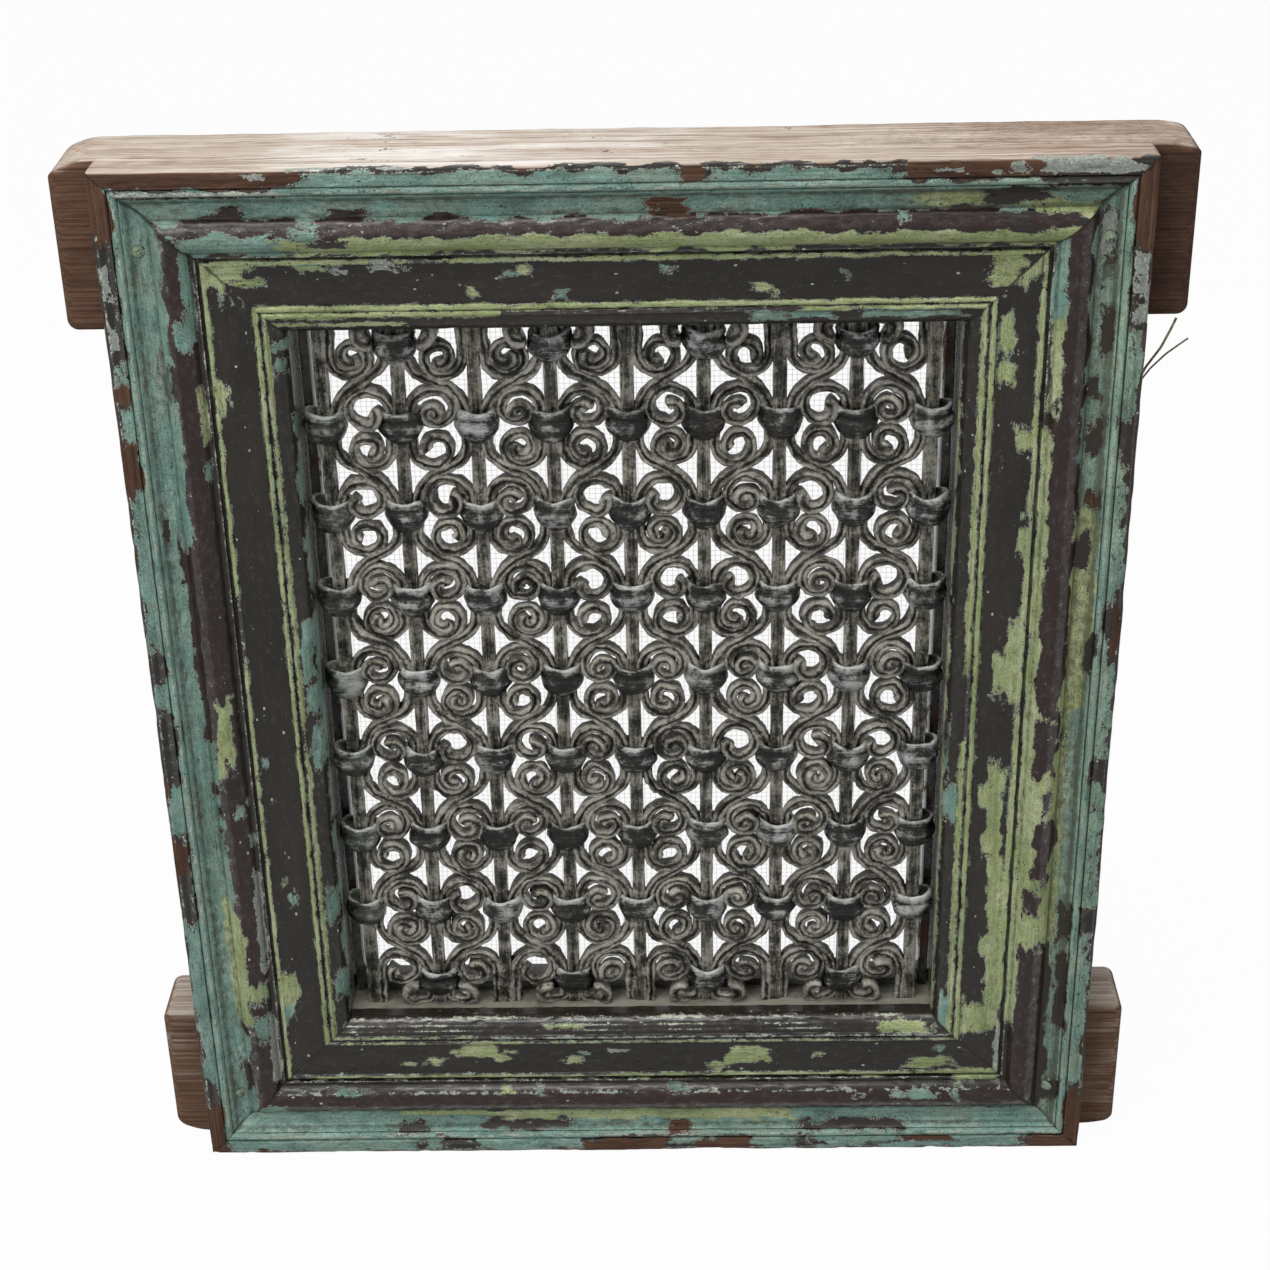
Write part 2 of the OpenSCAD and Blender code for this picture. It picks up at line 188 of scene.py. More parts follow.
def piece(name, shells, finish, stands_for, crease=35.0):
    """Joins shells into one object at the origin, in metres, which rides on the part and replaces its
    nodes."""
    start = np.cumsum([0] + [len(s["points"]) for s in shells])
    faces = [face for s, n in zip(shells, start) for face in (s["quads"] + n).tolist()]
    faces += [(cap + n).tolist() for s, n in zip(shells, start) for cap in s["caps"]]
    mesh = bpy.data.meshes.new(name)
    mesh.from_pydata(np.concatenate([s["points"] for s in shells]) * MM, [], faces)
    for key in shells[0]["spots"]:
        values = np.concatenate([s["spots"][key] for s in shells])
        width = values.shape[1]
        kind, field = {3: ("FLOAT_VECTOR", "vector"), 4: ("FLOAT_COLOR", "color")}[width]
        mesh.attributes.new(key, kind, "POINT").data.foreach_set(field, values.astype(np.float32).ravel())
    mesh.shade_smooth()
    mesh.set_sharp_from_angle(angle=np.radians(crease))
    mesh.materials.append(finish)
    made = bpy.data.objects.new(name, mesh)
    bpy.context.scene.collection.objects.link(made)
    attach(made, "root")
    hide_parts(*stands_for)
    return made


print("Faces of a tube of 3 rings and 4 points:", len(ring_faces(3, 4)))

# %% [markdown]
# ## Writing a finish as a sum
#
# A material is a graph of nodes, and long chains of Math nodes are hard to read. `Value` wraps one socket
# and answers to +, - and *, so a mask is written the way it is thought. A `Finish` is one material under
# construction, and its `node` method makes any other node.


# %% Values and finishes
class Value:
    """One output socket of a finish. Arithmetic on it adds the nodes that do it."""

    def __init__(self, finish, socket):
        self.finish = finish
        self.socket = socket

    def maths(self, operation, *values):
        """Makes the maths node that suits this socket, for vectors or numbers, and feeds it the values."""
        if self.socket.type == "VECTOR":
            return self.finish.node("ShaderNodeVectorMath", {"operation": operation}, dict(enumerate(values)))
        return self.finish.node("ShaderNodeMath", {"operation": operation}, dict(enumerate(values)))

    def __add__(self, other):
        return self.maths("ADD", self, other)

    def __sub__(self, other):
        return self.maths("SUBTRACT", self, other)

    def __rsub__(self, other):
        return self.maths("SUBTRACT", other, self)

    def __mul__(self, other):
        return self.maths("MULTIPLY", self, other)

    __radd__ = __add__
    __rmul__ = __mul__

    def above(self, low, high):
        """0 below low and 1 above high, with a straight ramp between. A low over high turns the ramp
        round."""
        ends = {0: self, 1: low, 2: high, 3: 0.0, 4: 1.0}
        return self.finish.node("ShaderNodeMapRange", {"clamp": True}, ends)


class Finish:
    """A material with one Principled shader, built up by expressions."""

    def __init__(self, name):
        self.material = bpy.data.materials.new(name)
        self.material.use_nodes = True
        self.tree = self.material.node_tree
        self.tree.nodes.clear()
        self.shader = self.tree.nodes.new("ShaderNodeBsdfPrincipled")
        self.result = self.tree.nodes.new("ShaderNodeOutputMaterial")
        self.tree.links.new(self.shader.outputs[0], self.result.inputs["Surface"])

    def feed(self, socket, value):
        """Puts a number, a colour, a vector or another node's Value into a socket."""
        if isinstance(value, Value):
            self.tree.links.new(value.socket, socket)
        else:
            socket.default_value = value

    def node(self, kind, settings=None, sockets=None, out=0, stops=None):
        """Makes a node, sets its settings and its ramp's stops, feeds its sockets and returns one
        output."""
        made = self.tree.nodes.new(kind)
        for key, value in (settings or {}).items():
            setattr(made, key, value)
        if stops:
            ramp = made.color_ramp.elements
            while len(ramp) < len(stops):
                ramp.new(1.0)
            for element, (place, colour) in zip(ramp, stops):
                element.position = place
                element.color = colour
        for key, value in (sockets or {}).items():
            self.feed(made.inputs[key], value)
        return Value(self, made.outputs[out])

    def attribute(self, name, out="Vector"):
        """What the mesh's points carry under this name."""
        return self.node("ShaderNodeAttribute", {"attribute_name": name}, out=out)

    def channels(self, name):
        """The four numbers of a colour attribute."""
        split = self.node("ShaderNodeSeparateColor", sockets={0: self.attribute(name, "Color")}).socket.node
        return [Value(self, split.outputs[k]) for k in range(3)] + [self.attribute(name, "Alpha")]

    def noise(self, place, scale, detail=4.0, rough=0.55):
        """Soft noise from 0 to 1, in cells of 1/scale metres along each axis."""
        return self.node("ShaderNodeTexNoise", sockets={"Vector": place * scale, "Scale": 1.0,
                                                        "Detail": detail, "Roughness": rough})

    def cells(self, place, scale, out="Distance"):
        """Cells of 1/scale metres: the distance to the nearest cell's middle, or that cell's random
        colour."""
        return self.node("ShaderNodeTexVoronoi", sockets={"Vector": place * scale, "Scale": 1.0}, out=out)

    def mix(self, factor, low, high):
        """Colour low where the factor is 0 and high where it is 1."""
        return self.node("ShaderNodeMix", {"data_type": "RGBA"}, {0: factor, 6: low, 7: high}, 2)

    def larger(self, one, other):
        """The larger of two numbers."""
        return self.node("ShaderNodeMath", {"operation": "MAXIMUM"}, {0: one, 1: other})

    def ramp(self, factor, *stops):
        """A colour between the stops, each a place from 0 to 1 and the colour there."""
        return self.node("ShaderNodeValToRGB", sockets={0: factor}, stops=stops)

    def bump(self, height, depth=1.0, strength=1.0):
        """Normals bent by a height of 0 to 1 that stands for a depth in millimetres."""
        return self.node("ShaderNodeBump", sockets={"Height": height, "Distance": depth * MM,
                                                    "Strength": strength})

    def finished(self, colour, roughness, normal=None, metal=0.0):
        """Feeds the shader and hands over the material."""
        for key, value in {"Base Color": colour, "Roughness": roughness, "Metallic": metal}.items():
            self.feed(self.shader.inputs[key], value)
        if normal:
            self.feed(self.shader.inputs["Normal"], normal)
        return self.material


def hue(code):
    """Linear colour of a web colour such as '6f9a86', as shaders want it."""
    channels = np.array([int(code[k:k + 2], 16) for k in (0, 2, 4)]) / 255
    linear = np.where(channels <= 0.04045, channels / 12.92, ((channels + 0.055) / 1.055) ** 2.4)
    return (*linear.tolist(), 1.0)


print("A mid grey in linear light:", round(hue("808080")[0], 3))

# %% [markdown]
# ## Old paint on old wood
#
# The timber has carried many coats: a grey primer, a near-black coat that is maroon on the big round, a
# yellow-green coat and a teal one. Each has flaked off in places along the grain, with sharp ragged edges.
# Painting that by hand as a picture would be one way. Here each spot of the timber carries a rough plan of
# where a coat lies, as a distance to its edge, and noise stretched along the grain tears that edge up.
#
# The attribute `coats` holds the light coat, the share of yellow-green in it, the dark coat, and the share
# of maroon in that. The attribute `state` holds primer, bleaching, relief and dust. Where the bleaching runs
# highest it is a painted highlight, and the relief also lays painted glints and painted shade. All noises are
# made once and kept under their names: coarse ones for blotches, and long thin ones for streaks and hairs
# along the grain.

# %% Colours and noises of the timber
WOOD_DARK, WOOD_MID, WOOD_LIGHT = hue("2a1b14"), hue("52392b"), hue("7c614e")
BLEACH_DARK, BLEACH_MID, BLEACH_LIGHT, PAINTED_GLARE = hue("7b685a"), hue("a99c8f"), hue("c6beb6"), hue("dbd9d6")
PRIMER = hue("727975")
BLACK_COAT, BLACK_FILM = hue("181613"), hue("39322a")
MAROON_COAT, MAROON_FILM = hue("1f1512"), hue("3a2823")
TEAL, TEAL_DEEP, TEAL_PALE = hue("75948a"), hue("4e645a"), hue("a3bdb2")
TURQUOISE, OLIVE = hue("6fa59b"), hue("767d60")
GREEN, GREEN_DEEP, GREEN_PALE = hue("99a571"), hue("666f48"), hue("c6cda2")
GRIME, SOOT, DUST, SCUFF = hue("2b261d"), hue("403f33"), hue("85867b"), hue("c3c7b6")


def timber_noises(f, grain):
    """All the patterns that the timber's layers share, under a name each."""
    n = SimpleNamespace()
    n.blotch = f.noise(grain, (9.0, 34.0, 34.0), 6.0)
    n.cloud = f.noise(grain, (36.0, 62.0, 62.0), 4.0)
    n.weather = f.noise(grain, (15.0, 40.0, 40.0), 6.0, 0.7)
    n.tear = f.noise(grain, (130.0, 200.0, 200.0), 6.0, 0.65)
    n.fine = f.noise(grain, (700.0, 900.0, 900.0), 3.0, 0.6)
    n.streak = f.noise(grain, (5.0, 480.0, 480.0), 6.0, 0.68)
    n.hair = f.noise(grain, (26.0, 1500.0, 1500.0), 3.0, 0.6)
    chip_colour = f.cells(grain, (210.0, 330.0, 330.0), out="Color")
    n.chips = f.node("ShaderNodeSeparateColor", sockets={0: chip_colour})
    n.nicks = f.cells(grain, (95.0, 150.0, 150.0))
    n.ragged = (n.cloud - 0.5) * 1.1 + (n.tear - 0.5) * 2.3 + (n.fine - 0.5) * 0.7 + (n.chips - 0.5) * 0.5
    n.pores = n.hair.above(0.58, 0.72)
    return n


print("Teal in linear light:", [round(value, 3) for value in TEAL[:3]])

# %% [markdown]
# ## Bare wood and the two dark coats
#
# Where no paint is left the wood is brown, with streaks and pores along the grain. Sun and rain have
# bleached the top of the head to tan. About its middle a painted highlight turns it silvery white. The black
# coat is a thin glossy film, worn in streaks, and on the big round it is maroon.


# %% Wood and dark coats
def bare_wood(f, n, bleach_and_glare):
    """Brown wood, tan where it is bleached and silvery white, a painted highlight, where the value runs
    highest, with dark pores.
    """
    brown = f.ramp(n.streak * 0.45 + n.weather * 0.3 + n.hair * 0.3 + bleach_and_glare * 0.3,
                   (0.4, WOOD_DARK), (0.54, WOOD_MID), (0.7, WOOD_LIGHT))
    tan = f.ramp(n.streak * 0.65 + n.cloud * 0.12 + n.hair * 0.33,
                 (0.43, BLEACH_DARK), (0.55, BLEACH_MID), (0.68, BLEACH_LIGHT))
    faded = (bleach_and_glare + (n.blotch - 0.5) * 0.9 + (n.streak - 0.5) * 0.7).above(0.3, 0.75)
    wood = f.mix(faded, brown, tan)
    # Painted highlight: where the value passes 1.3 the wood turns silvery white.
    glare_mask = (bleach_and_glare - 1.3 + (n.blotch - 0.5) * 1.4 + (n.streak - 0.5) * 1.2).above(-0.15, 0.35)
    wood = f.mix(glare_mask * 0.75, wood, PAINTED_GLARE)
    return f.mix(n.pores * 0.5, wood, WOOD_DARK)


def dark_coat(f, n, maroon):
    """Black, or maroon where the plan says so, with a browner film where the coat has worn thin."""
    film = (n.blotch * 0.5 + n.fine * 0.3 + n.hair * 0.3).above(0.4, 0.74) * 0.7
    black = f.mix(film, BLACK_COAT, BLACK_FILM)
    red = f.mix(film, MAROON_COAT, MAROON_FILM)
    is_red = (maroon + (n.blotch - 0.5) * 1.1 + (n.streak - 0.5) * 0.8).above(0.35, 0.75)
    return f.mix(is_red, black, red)


def light_coat(f, n, green):
    """Teal over yellow-green, stained with olive and rubbed along the grain."""
    shade = n.streak * 0.2 + n.weather * 0.55 + n.cloud * 0.1 + n.fine * 0.3
    teal = f.ramp(shade, (0.46, TEAL_DEEP), (0.56, TEAL), (0.66, TEAL_PALE))
    teal = f.mix((n.cloud * 0.6 + n.tear * 0.5).above(0.58, 0.68) * 0.6, teal, TURQUOISE)
    teal = f.mix((n.weather * 0.7 + (1 - n.blotch) * 0.4).above(0.56, 0.68) * 0.45, teal, OLIVE)
    lime = f.ramp(shade, (0.43, GREEN_DEEP), (0.54, GREEN), (0.68, GREEN_PALE))
    greenness = green + (n.tear - 0.5) * 1.2 + (n.blotch - 0.5) * 0.8 + (n.cloud - 0.5) * 0.6
    return f.mix(greenness.above(0.15, 1.0), teal, lime)


print("Bleached wood is", round(BLEACH_MID[1] / WOOD_MID[1], 1), "times as light as brown wood")

# %% [markdown]
# ## Laying the coats and wearing them
#
# A coat is there where its distance plus the ragged noise is above 0. The masks go on in the painter's
# order: dark coat, primer, the pale rim that a flake leaves, light coat. Wear comes last: scuffs on ridges,
# nicks, pits, grime in the hollows, soot, and dust. On the crown of the big round and on the sill's cove the
# pale scuffs are painted highlights. One more layer could be a second shader, but masks on one shader
# bake well.


# %% The timber's finish
def worn_colour(f, n, colour, has_light, has_dark, relief_and_light, dust):
    """The painted colour with its wear, and the mask of grime, which is rougher too."""
    painted = f.larger(has_light, has_dark)
    # Pale scuffs on ridges are wear; on the big round's crown and on the sill's cove they are painted
    # highlights.
    scuffs = (relief_and_light * 0.62 + (n.tear - 0.5) * 1.8 + (n.fine - 0.5) * 1.2).above(0.55, 0.75) * painted
    nick = n.nicks.above(0.16, 0.12) * n.chips.above(0.86, 0.88) * painted
    pits = (n.fine * 0.7 + n.hair * 0.3).above(0.445, 0.38) * has_light
    colour = f.mix(pits * 0.6, colour, GRIME)
    colour = f.mix(scuffs * 0.8, colour, SCUFF)
    colour = f.mix(nick * (1 - has_light) * 0.8, colour, SCUFF)
    colour = f.mix(nick * has_light * 0.8, colour, BLACK_COAT)
    grime = (n.tear - 0.5) * 1.6 + (n.fine - 0.5) * 0.8 + (n.weather - 0.5) * 1.2 - relief_and_light - 0.1
    grime = grime.above(0.1, 0.8)
    colour = f.mix(grime * 0.7, colour, GRIME)
    soot = n.weather * 0.4 + n.tear * 0.6 + (n.hair - 0.5) * 0.7 + (n.fine - 0.5) * 1.1
    colour = f.mix(soot.above(0.54, 0.65) * has_light * 0.62, colour, SOOT)
    dusty = dust + (n.fine - 0.5) * 0.6 + (n.weather - 0.5) * 1.5 + (n.tear - 0.5) * 0.8
    return f.mix(dusty.above(0.3, 0.9) * 0.85, colour, DUST), grime, pits


def timber_finish():
    """Wood, primer, dark coat and light coat, one over the other, each with its torn edge."""
    f = Finish("painted_timber")
    light, green, dark, maroon = f.channels("coats")
    primer, bleach_and_glare, relief_and_light, dust = f.channels("state")
    n = timber_noises(f, f.attribute("grain"))

    edge = light + n.ragged
    holes = (n.tear * 0.55 + n.fine * 0.35 + n.weather * 0.2).above(0.44, 0.425)
    has_light = edge.above(-0.02, 0.02) * (1 - holes)
    has_dark = (dark + n.ragged * 0.7).above(-0.04, 0.04)
    has_primer = (primer + n.ragged).above(-0.04, 0.04)
    rim = edge.above(-0.22, -0.12) * (1 - has_light)
    thin = edge.above(0.35, 0.05) * n.hair.above(0.5, 0.56) * 0.7
    colour = f.mix(has_dark, bare_wood(f, n, bleach_and_glare), dark_coat(f, n, maroon))
    colour = f.mix(has_primer, colour, f.mix(n.fine.above(0.4, 0.9), PRIMER, SCUFF))
    colour = f.mix(rim * n.fine.above(0.4, 0.6) * 0.65, colour, SCUFF)
    colour = f.mix(has_light * (1 - thin * 0.75), colour, light_coat(f, n, green))
    colour, grime, pits = worn_colour(f, n, colour, has_light, has_dark, relief_and_light, dust)

    painted = f.larger(has_light, has_dark)
    roughness = 0.8 - has_dark * 0.59 + has_light * 0.36 + (n.fine - 0.5) * 0.3 + grime * 0.3
    height = has_light * 0.45 + has_dark * 0.16 + n.streak * (1 - painted * 0.8) * 0.35
    height = height + n.fine * 0.16 - n.pores * 0.08 + n.cloud * 0.5 - pits * 0.12
    height = height + n.hair * (1 - painted * 0.6) * 0.15
    polish = (relief_and_light * 1.3 + (n.tear - 0.5) * 2.4 + (n.fine - 0.5) * 1.5).above(0.15, 0.7)
    f.feed(f.shader.inputs["Coat Weight"], polish * has_dark * (1 - has_light) * 0.7)
    f.feed(f.shader.inputs["Coat Roughness"], 0.24)
    f.feed(f.shader.inputs["Specular IOR Level"], 0.25)
    return f.finished(colour, roughness, f.bump(height, 1.0, 0.9))


TIMBER = timber_finish()
print("Timber finish nodes:", len(TIMBER.node_tree.nodes))

# %% [markdown]
# ## The moulding
#
# A joiner ran this moulding with planes: a flat fillet at the outer edge, a bead, a cove, a big round, a
# small lip, a broad flat field, two reeds and a rounded nose. The outline could be traced point by point.
# Here it is drawn as the plane makes it, in straight runs and arcs of known radius.


# %% Draw the profile
def arc(start, end, radius, steps):
    """Points of an arc between two points, hollow for a positive radius and round for a negative one."""
    start, end = np.array(start, float), np.array(end, float)
    run = end - start
    chord = np.hypot(*run)
    side = np.sign(radius)
    across = np.array((run[1], -run[0])) / chord
    middle = (start + end) / 2 + side * np.sqrt(radius ** 2 - chord ** 2 / 4) * across
    first = np.arctan2(start[1] - middle[1], start[0] - middle[0])
    angle = first - side * 2 * np.arcsin(chord / 2 / abs(radius)) * np.linspace(0, 1, steps + 1)
    return middle + abs(radius) * np.stack((np.cos(angle), np.sin(angle)), 1)


def runs(corners, step):
    """Straight runs through the corners, cut so that no piece is longer than the step. Keeps every
    corner."""
    corners = np.array(corners, float)
    parts = [np.linspace(a, b, max(1, int(np.ceil(np.hypot(*(b - a)) / step))), endpoint=False)
             for a, b in zip(corners[:-1], corners[1:])]
    return np.concatenate(parts + [corners[-1:]])


W = MEMBER_W
profile = np.concatenate((
    runs([(0.3, 34), (0.3, 2.2), (0.8, 0.9), (2.0, 0.3), (12.8, 0.3), (13.7, 0.9), (14.0, 2.9)], 1.7),
    arc((14.2, 3), (20.4, 3), -3.15, 9),
    runs([(20.9, 4.3), (21.4, 4.2), (21.7, 3.3)], 2),
    arc((22.0, 3.2), (39, 10.5), 17, 14),
    arc((39.3, 10.4), (65.8, 12.6), -14.4, 20),
    runs([(66.4, 12.7), (69.4, 12.5), (69.9, 12.9), (70.1, 16.3), (72.4, 16.4), (72.6, 13.9), (73.2, 13.3),
          (76.0, 13.3), (76.5, 13.8), (76.9, 14.3), (W - 23.6, 14.3)], 1.9),
    arc((W - 23.4, 14.4), (W - 18.4, 14.4), -2.6, 7),
    arc((W - 18.2, 14.4), (W - 13.4, 14.3), -2.6, 7),
    arc((W - 13.0, 14.3), (W, 27.3), -13, 17),
    runs([(W, 28.2), (W, 35.6), (W - 0.5, 36.4), (W - 1.4, 36.8)], 1.7)))
hidden = np.array([(W - 9, 36.8), (W - 9, 30.5), (W / 2, 30.5), (7, 30.5), (7, 34.3), (1.2, 34.4)])
SEEN = len(profile)
loop = np.concatenate((profile, hidden))

near = np.abs(profile[:, None, 0] - profile[None, :, 0]) < 4.5
level_of = (near * profile[None, :, 1]).sum(1) / near.sum(1)
RELIEF_AND_GLINT = np.clip((level_of - profile[:, 1]) / 1.6, -1, 1)
RELIEF_AND_GLINT[profile[:, 0] < 2.5] = 0.3
RELIEF_AND_GLINT[profile[:, 0] > W - 12] = 0.1
RELIEF_AND_GLINT[(profile[:, 0] > 39.5) & (profile[:, 0] < 65)] = 0.1
# Painted highlight: the crown of the big round is marked as a ridge, so pale scuffs stand there for its
# glints.
RELIEF_AND_GLINT[(profile[:, 0] > 43) & (profile[:, 0] < 51)] = 0.45
RELIEF_AND_GLINT = np.concatenate((RELIEF_AND_GLINT, np.zeros(len(hidden))))
print("Points of the profile:", len(profile))
print("Relief from", RELIEF_AND_GLINT.min().round(2), "to", RELIEF_AND_GLINT.max().round(2))

# %% [markdown]
# ## Where each coat of paint is left
#
# The photograph fixes where the coats have gone. Each member is read along its length s, from its middle,
# and across it, u, from its outer edge, both in millimetres. A patch says which coat shows in a rectangle,
# and later patches lie over earlier ones. `paint` turns a list of patches into soft distances, which the
# finish tears up. The letters are t for teal, g for yellow-green, d for black, m for maroon, w for bare
# wood and p for primer.

# %% Patches of paint
HEAD_PATCHES = """
d -400 400 0 140  w -400 400 -9 -2  t -240 206 4 22  w -400 -232 -9 14  w 44 59 -9 15  w 205 300 -9 14
p -264 -252 4 8  p 222 246 7 10  p 262 268 8 12  p 274 288 3 12  p 300 368 -2 12  p -240 -150 -2 2
t -380 310 16 42  d -380 -240 19 22  p -372 -240 16 21  g 214 352 27 37  d 286 300 25 34  g 302 347 30 46
t 308 381 22 36  w 15 50 27 43  d 258 305 24 36  m -324 -230 38 53  m -292 -274 31 40  m -224 -113 40 53
m -212 -186 33 42  m -122 60 41 54  m 60 199 40 52  m 201 264 39 52  m 266 279 44 50  m 297 322 44 52
t -236 -221 44 56  t 197 203 40 56  g -254 334 53 69  t -324 -248 50 68  d -229 -201 55 61  d -62 20 67 73
d 128 258 67 73  g -330 330 72.4 76  g -302 -273 74 91  g -276 -266 87 93  g -236 -216 78 82
p -211 -201 79 84  p -184 -165 73 83  t -162 -158 78 82  t -86 -82 83 87  g -76 -67 79 87
g -115 -109 95 102  t -49 -43 99 105  t 31 37 81 87  g 96 108 93 101  g 109 113 100 107  t 159 163 87 95
g 264 293 73 101  g -290 290 107.6 112.6  g -290 -95 112.8 117.8  g 128 290 112.8 117.8
g -256 -160 121.5 124.5  t 98 121 116 125  t 124 247 117 124  d 150 178 116 126  g -350 -300 88 104
t 306 330 100 112
"""
# On the sill, the primer strip p -381 381 61.1 62 along the top of the big round is partly worn primer and
# partly a painted highlight.
SILL_PATCHES = """
d -400 400 0 140  t -366 -197 2 22  w -400 -367 -9 15  t -191 -171 5 15  t -151 -47 2 22  w -49 22 -9 13
t 21 51 8 15  w 50 91 -9 13  t 90 136 3 22  t 144 331 2 22  w 221 266 10 15  w 338 400 -9 15
t -380 380 17 41  d -214 -189 20 29  d -142 -66 22 35  d 129 226 20 28  g -212 -120 34 41  g -127 132 29 41
w 24 41 17 28  t 144 159 24 36  m -381 381 41 61  p -381 381 61.1 62  t -264 -239 60 65  t -224 -220 60 65
g -121 -109 61 67  t -93 -87 60 66  t 24 41 60 66  t 188 192 54 60  t 216 229 55 60  t 234 251 53 62
t 268 272 52 61  t -330 -312 42 50  g -330 330 70.8 75.6  d -300 -284 68 77  g 274 306 66 78
g -206 -196 85 89  g -191 -187 85 89  g -183 -173 86 93  g -166 -150 98 103  g -160 -118 92 109
g -64 -53 86 94  t -52 -48 95 100  p -31 -11 97 101  g 59 72 76 87  g 72 112 84 101  g 150 156 91 96
g 234 271 78 89  t 255 259 94 102  g -290 290 109.6 110.9  g -280 -150 115 116.2  p -130 285 114.2 115.6
g -84 -46 123.4 126.2  g 198 247 118 127  g -318 -296 84 100
"""
LEFT_PATCHES = """
d -460 460 0 140  w -460 -388 -9 15  t -367 -193 2 22  d -199 -157 4 15  w -152 -118 -3 14  d -119 -105 7 15
t -107 -64 2 22  d -64 3 -2 14  t 2 36 2 22  d 34 61 4 14  t 59 202 2 22  w 199 239 -9 14  t 236 269 4 15
w 267 284 -9 14  t 281 302 3 15  d 299 397 -2 15  p 312 330 4 10  p 352 372 3 8  w 396 460 -9 15
t -446 446 15 37  t -446 -28 36 45  t 148 446 36 47  d -381 -348 37 45  d -322 -303 37 47  d -119 -109 39 45
d -102 -85 40 47  d -79 -65 35 45  d 149 169 24 29  g -306 -188 35 49  g -256 -189 34 49  g -63 -34 45 51
g -46 11 50 61  m -421 -324 45 66  m -300 -190 49 66  m -188 -64 45 66  m -35 152 36 66  m -64 -35 51 66
m 150 386 47 66  t -326 -299 51 63  g -286 -264 49 65  g -47 12 49 61  t 309 331 52 63  t 313 386 60 66
p -376 -304 62 68  p -251 -159 62 68  t -129 -119 65 70  t -101 -89 56 64  t 199 213 62 66  g 235 276 62 67
g -386 42 72.4 76  g 98 362 72.4 76  g 254 281 71 80  t -306 -289 75 85  g -291 -264 72 91
t -188 -181 90 96  g -170 -166 85 89  t -54 -50 80 84  g 264 273 75 85  t 339 347 85 93  g 349 396 72 101
g -350 360 108 111.8  g -345 350 114.8 118.2  t -323 -317 121 130  t -286 -259 121 131  t -211 -174 121 131
t -56 -19 121 131  t -6 19 121 131  t 27 69 121 131  t -300 240 130.2 139  t 286 294 121 130
t 301 309 121 130
"""
RIGHT_PATCHES = """
d -460 460 0 140  w -460 -384 -9 15  t -384 -214 2.5 22  d -214 -196 3 16  t -196 -66 2.5 22  d -66 -48 4 17
t -48 216 2.5 22  w 49 84 2 9  d 65 83 7 15  d 212 244 0 9  t 243 321 2 22  p 322 336 1 13  p 340 352 -1 12
p 356 374 3 14  w 377 460 -9 15  t -446 446 15 36  d -396 -377 22 40  d -230 -196 22 30  d 30 62 20 28
d -318 -243 21 29  t -318 -264 29 35  d -300 -262 34 42  g -264 2 34 44  g -2 167 24 47  t 164 446 24 42
t 262 446 38 47  d 214 238 26 37  d 262 270 30 45  d 300 330 25 32  d 120 146 30 40  w 170 182 24 34
p 374 406 28 38  m -391 -230 35 65  g -234 2 42 66  m -204 -177 49 63  m -166 -107 41 57  m -99 -81 46 53
m -67 -14 43 63  m -8 431 42 63  g -320 237 62.5 70.5  g 253 332 59 67  t 328 391 60 69  p -371 -319 72 77
g -302 -149 73 91  g -252 -228 84 94  g -152 -7 72 77.5  g -152 -59 82 96  g -104 -84 90 101  g 4 37 84 97
g -2 74 73 86  g 71 362 72 77  g 129 151 75 83  g 158 162 78 82  g 217 234 75 91  g 270 287 92 105
g 297 324 95 106  g 291 295 88 92  g -331 -299 87 108  g -329 -299 75 87  g 349 379 72 121
g -350 350 108 112.6  g -350 -40 115 119.6  g 28 350 115 119.6  t -331 -289 118 125  t -111 -79 120 130
t -66 -19 127 131  g -330 360 130.4 133
"""


TORN_S, TORN_U = 9.0, 2.6


def paint(patches, s, u):
    """Soft distances for the finish at places s and u: light coat, green, dark coat, maroon and primer. A
    patch's distance is the least of those to its four sides, in torn-edge lengths of 9 mm along the grain
    and 2.6 mm across it, measured at a place that drifts, so no edge is straight. The last patch that
    reaches a place sets the coats there."""
    light, green, dark, maroon, primer = (np.full(s.shape, value) for value in (-1.0, 0.0, -1.0, 0.0, -1.0))
    spot = np.stack((s, u * 1.8, np.zeros(s.shape)), -1)
    drift_s = 7 * ripple(spot, 38.0, 201) + 4 * ripple(spot, 13.0, 202)
    drift_u = 2.4 * ripple(spot, 30.0, 203) + 1.6 * ripple(spot, 12.0, 204)
    words = patches.split()
    for k in range(0, len(words), 5):
        kind = words[k]
        s0, s1, u0, u1 = map(float, words[k + 1:k + 5])
        far_s = s + drift_s * min(1, (s1 - s0) / 40)
        far_u = u + drift_u * min(1, (u1 - u0) / 16)
        sides = [(far_s - s0) / TORN_S, (s1 - far_s) / TORN_S, (far_u - u0) / TORN_U, (u1 - far_u) / TORN_U]
        inside = np.minimum.reduce(sides).clip(-1, 1.2)
        near_it = (inside * 2 + 0.8).clip(0, 1)
        if kind in "tg":
            light = np.maximum(light, inside)
            green += ((kind == "g") - green) * near_it
            continue
        light = np.minimum(light, -inside)
        primer = np.maximum(primer, inside) if kind == "p" else np.minimum(primer, -inside)
        if kind == "w":
            dark = np.minimum(dark, -inside)
        if kind in "dm":
            dark = np.maximum(dark, inside)
            maroon += ((kind == "m") - maroon) * near_it
    return light, green, dark, maroon, primer


sample = paint(HEAD_PATCHES, np.array([0.0]), np.array([64.0]))
print("Patches:", sum(len(p.split()) // 5 for p in (HEAD_PATCHES, SILL_PATCHES, LEFT_PATCHES, RIGHT_PATCHES)))
print("Head, middle, 64 mm from the edge: light coat", sample[0].round(2), "green", sample[1].round(2))

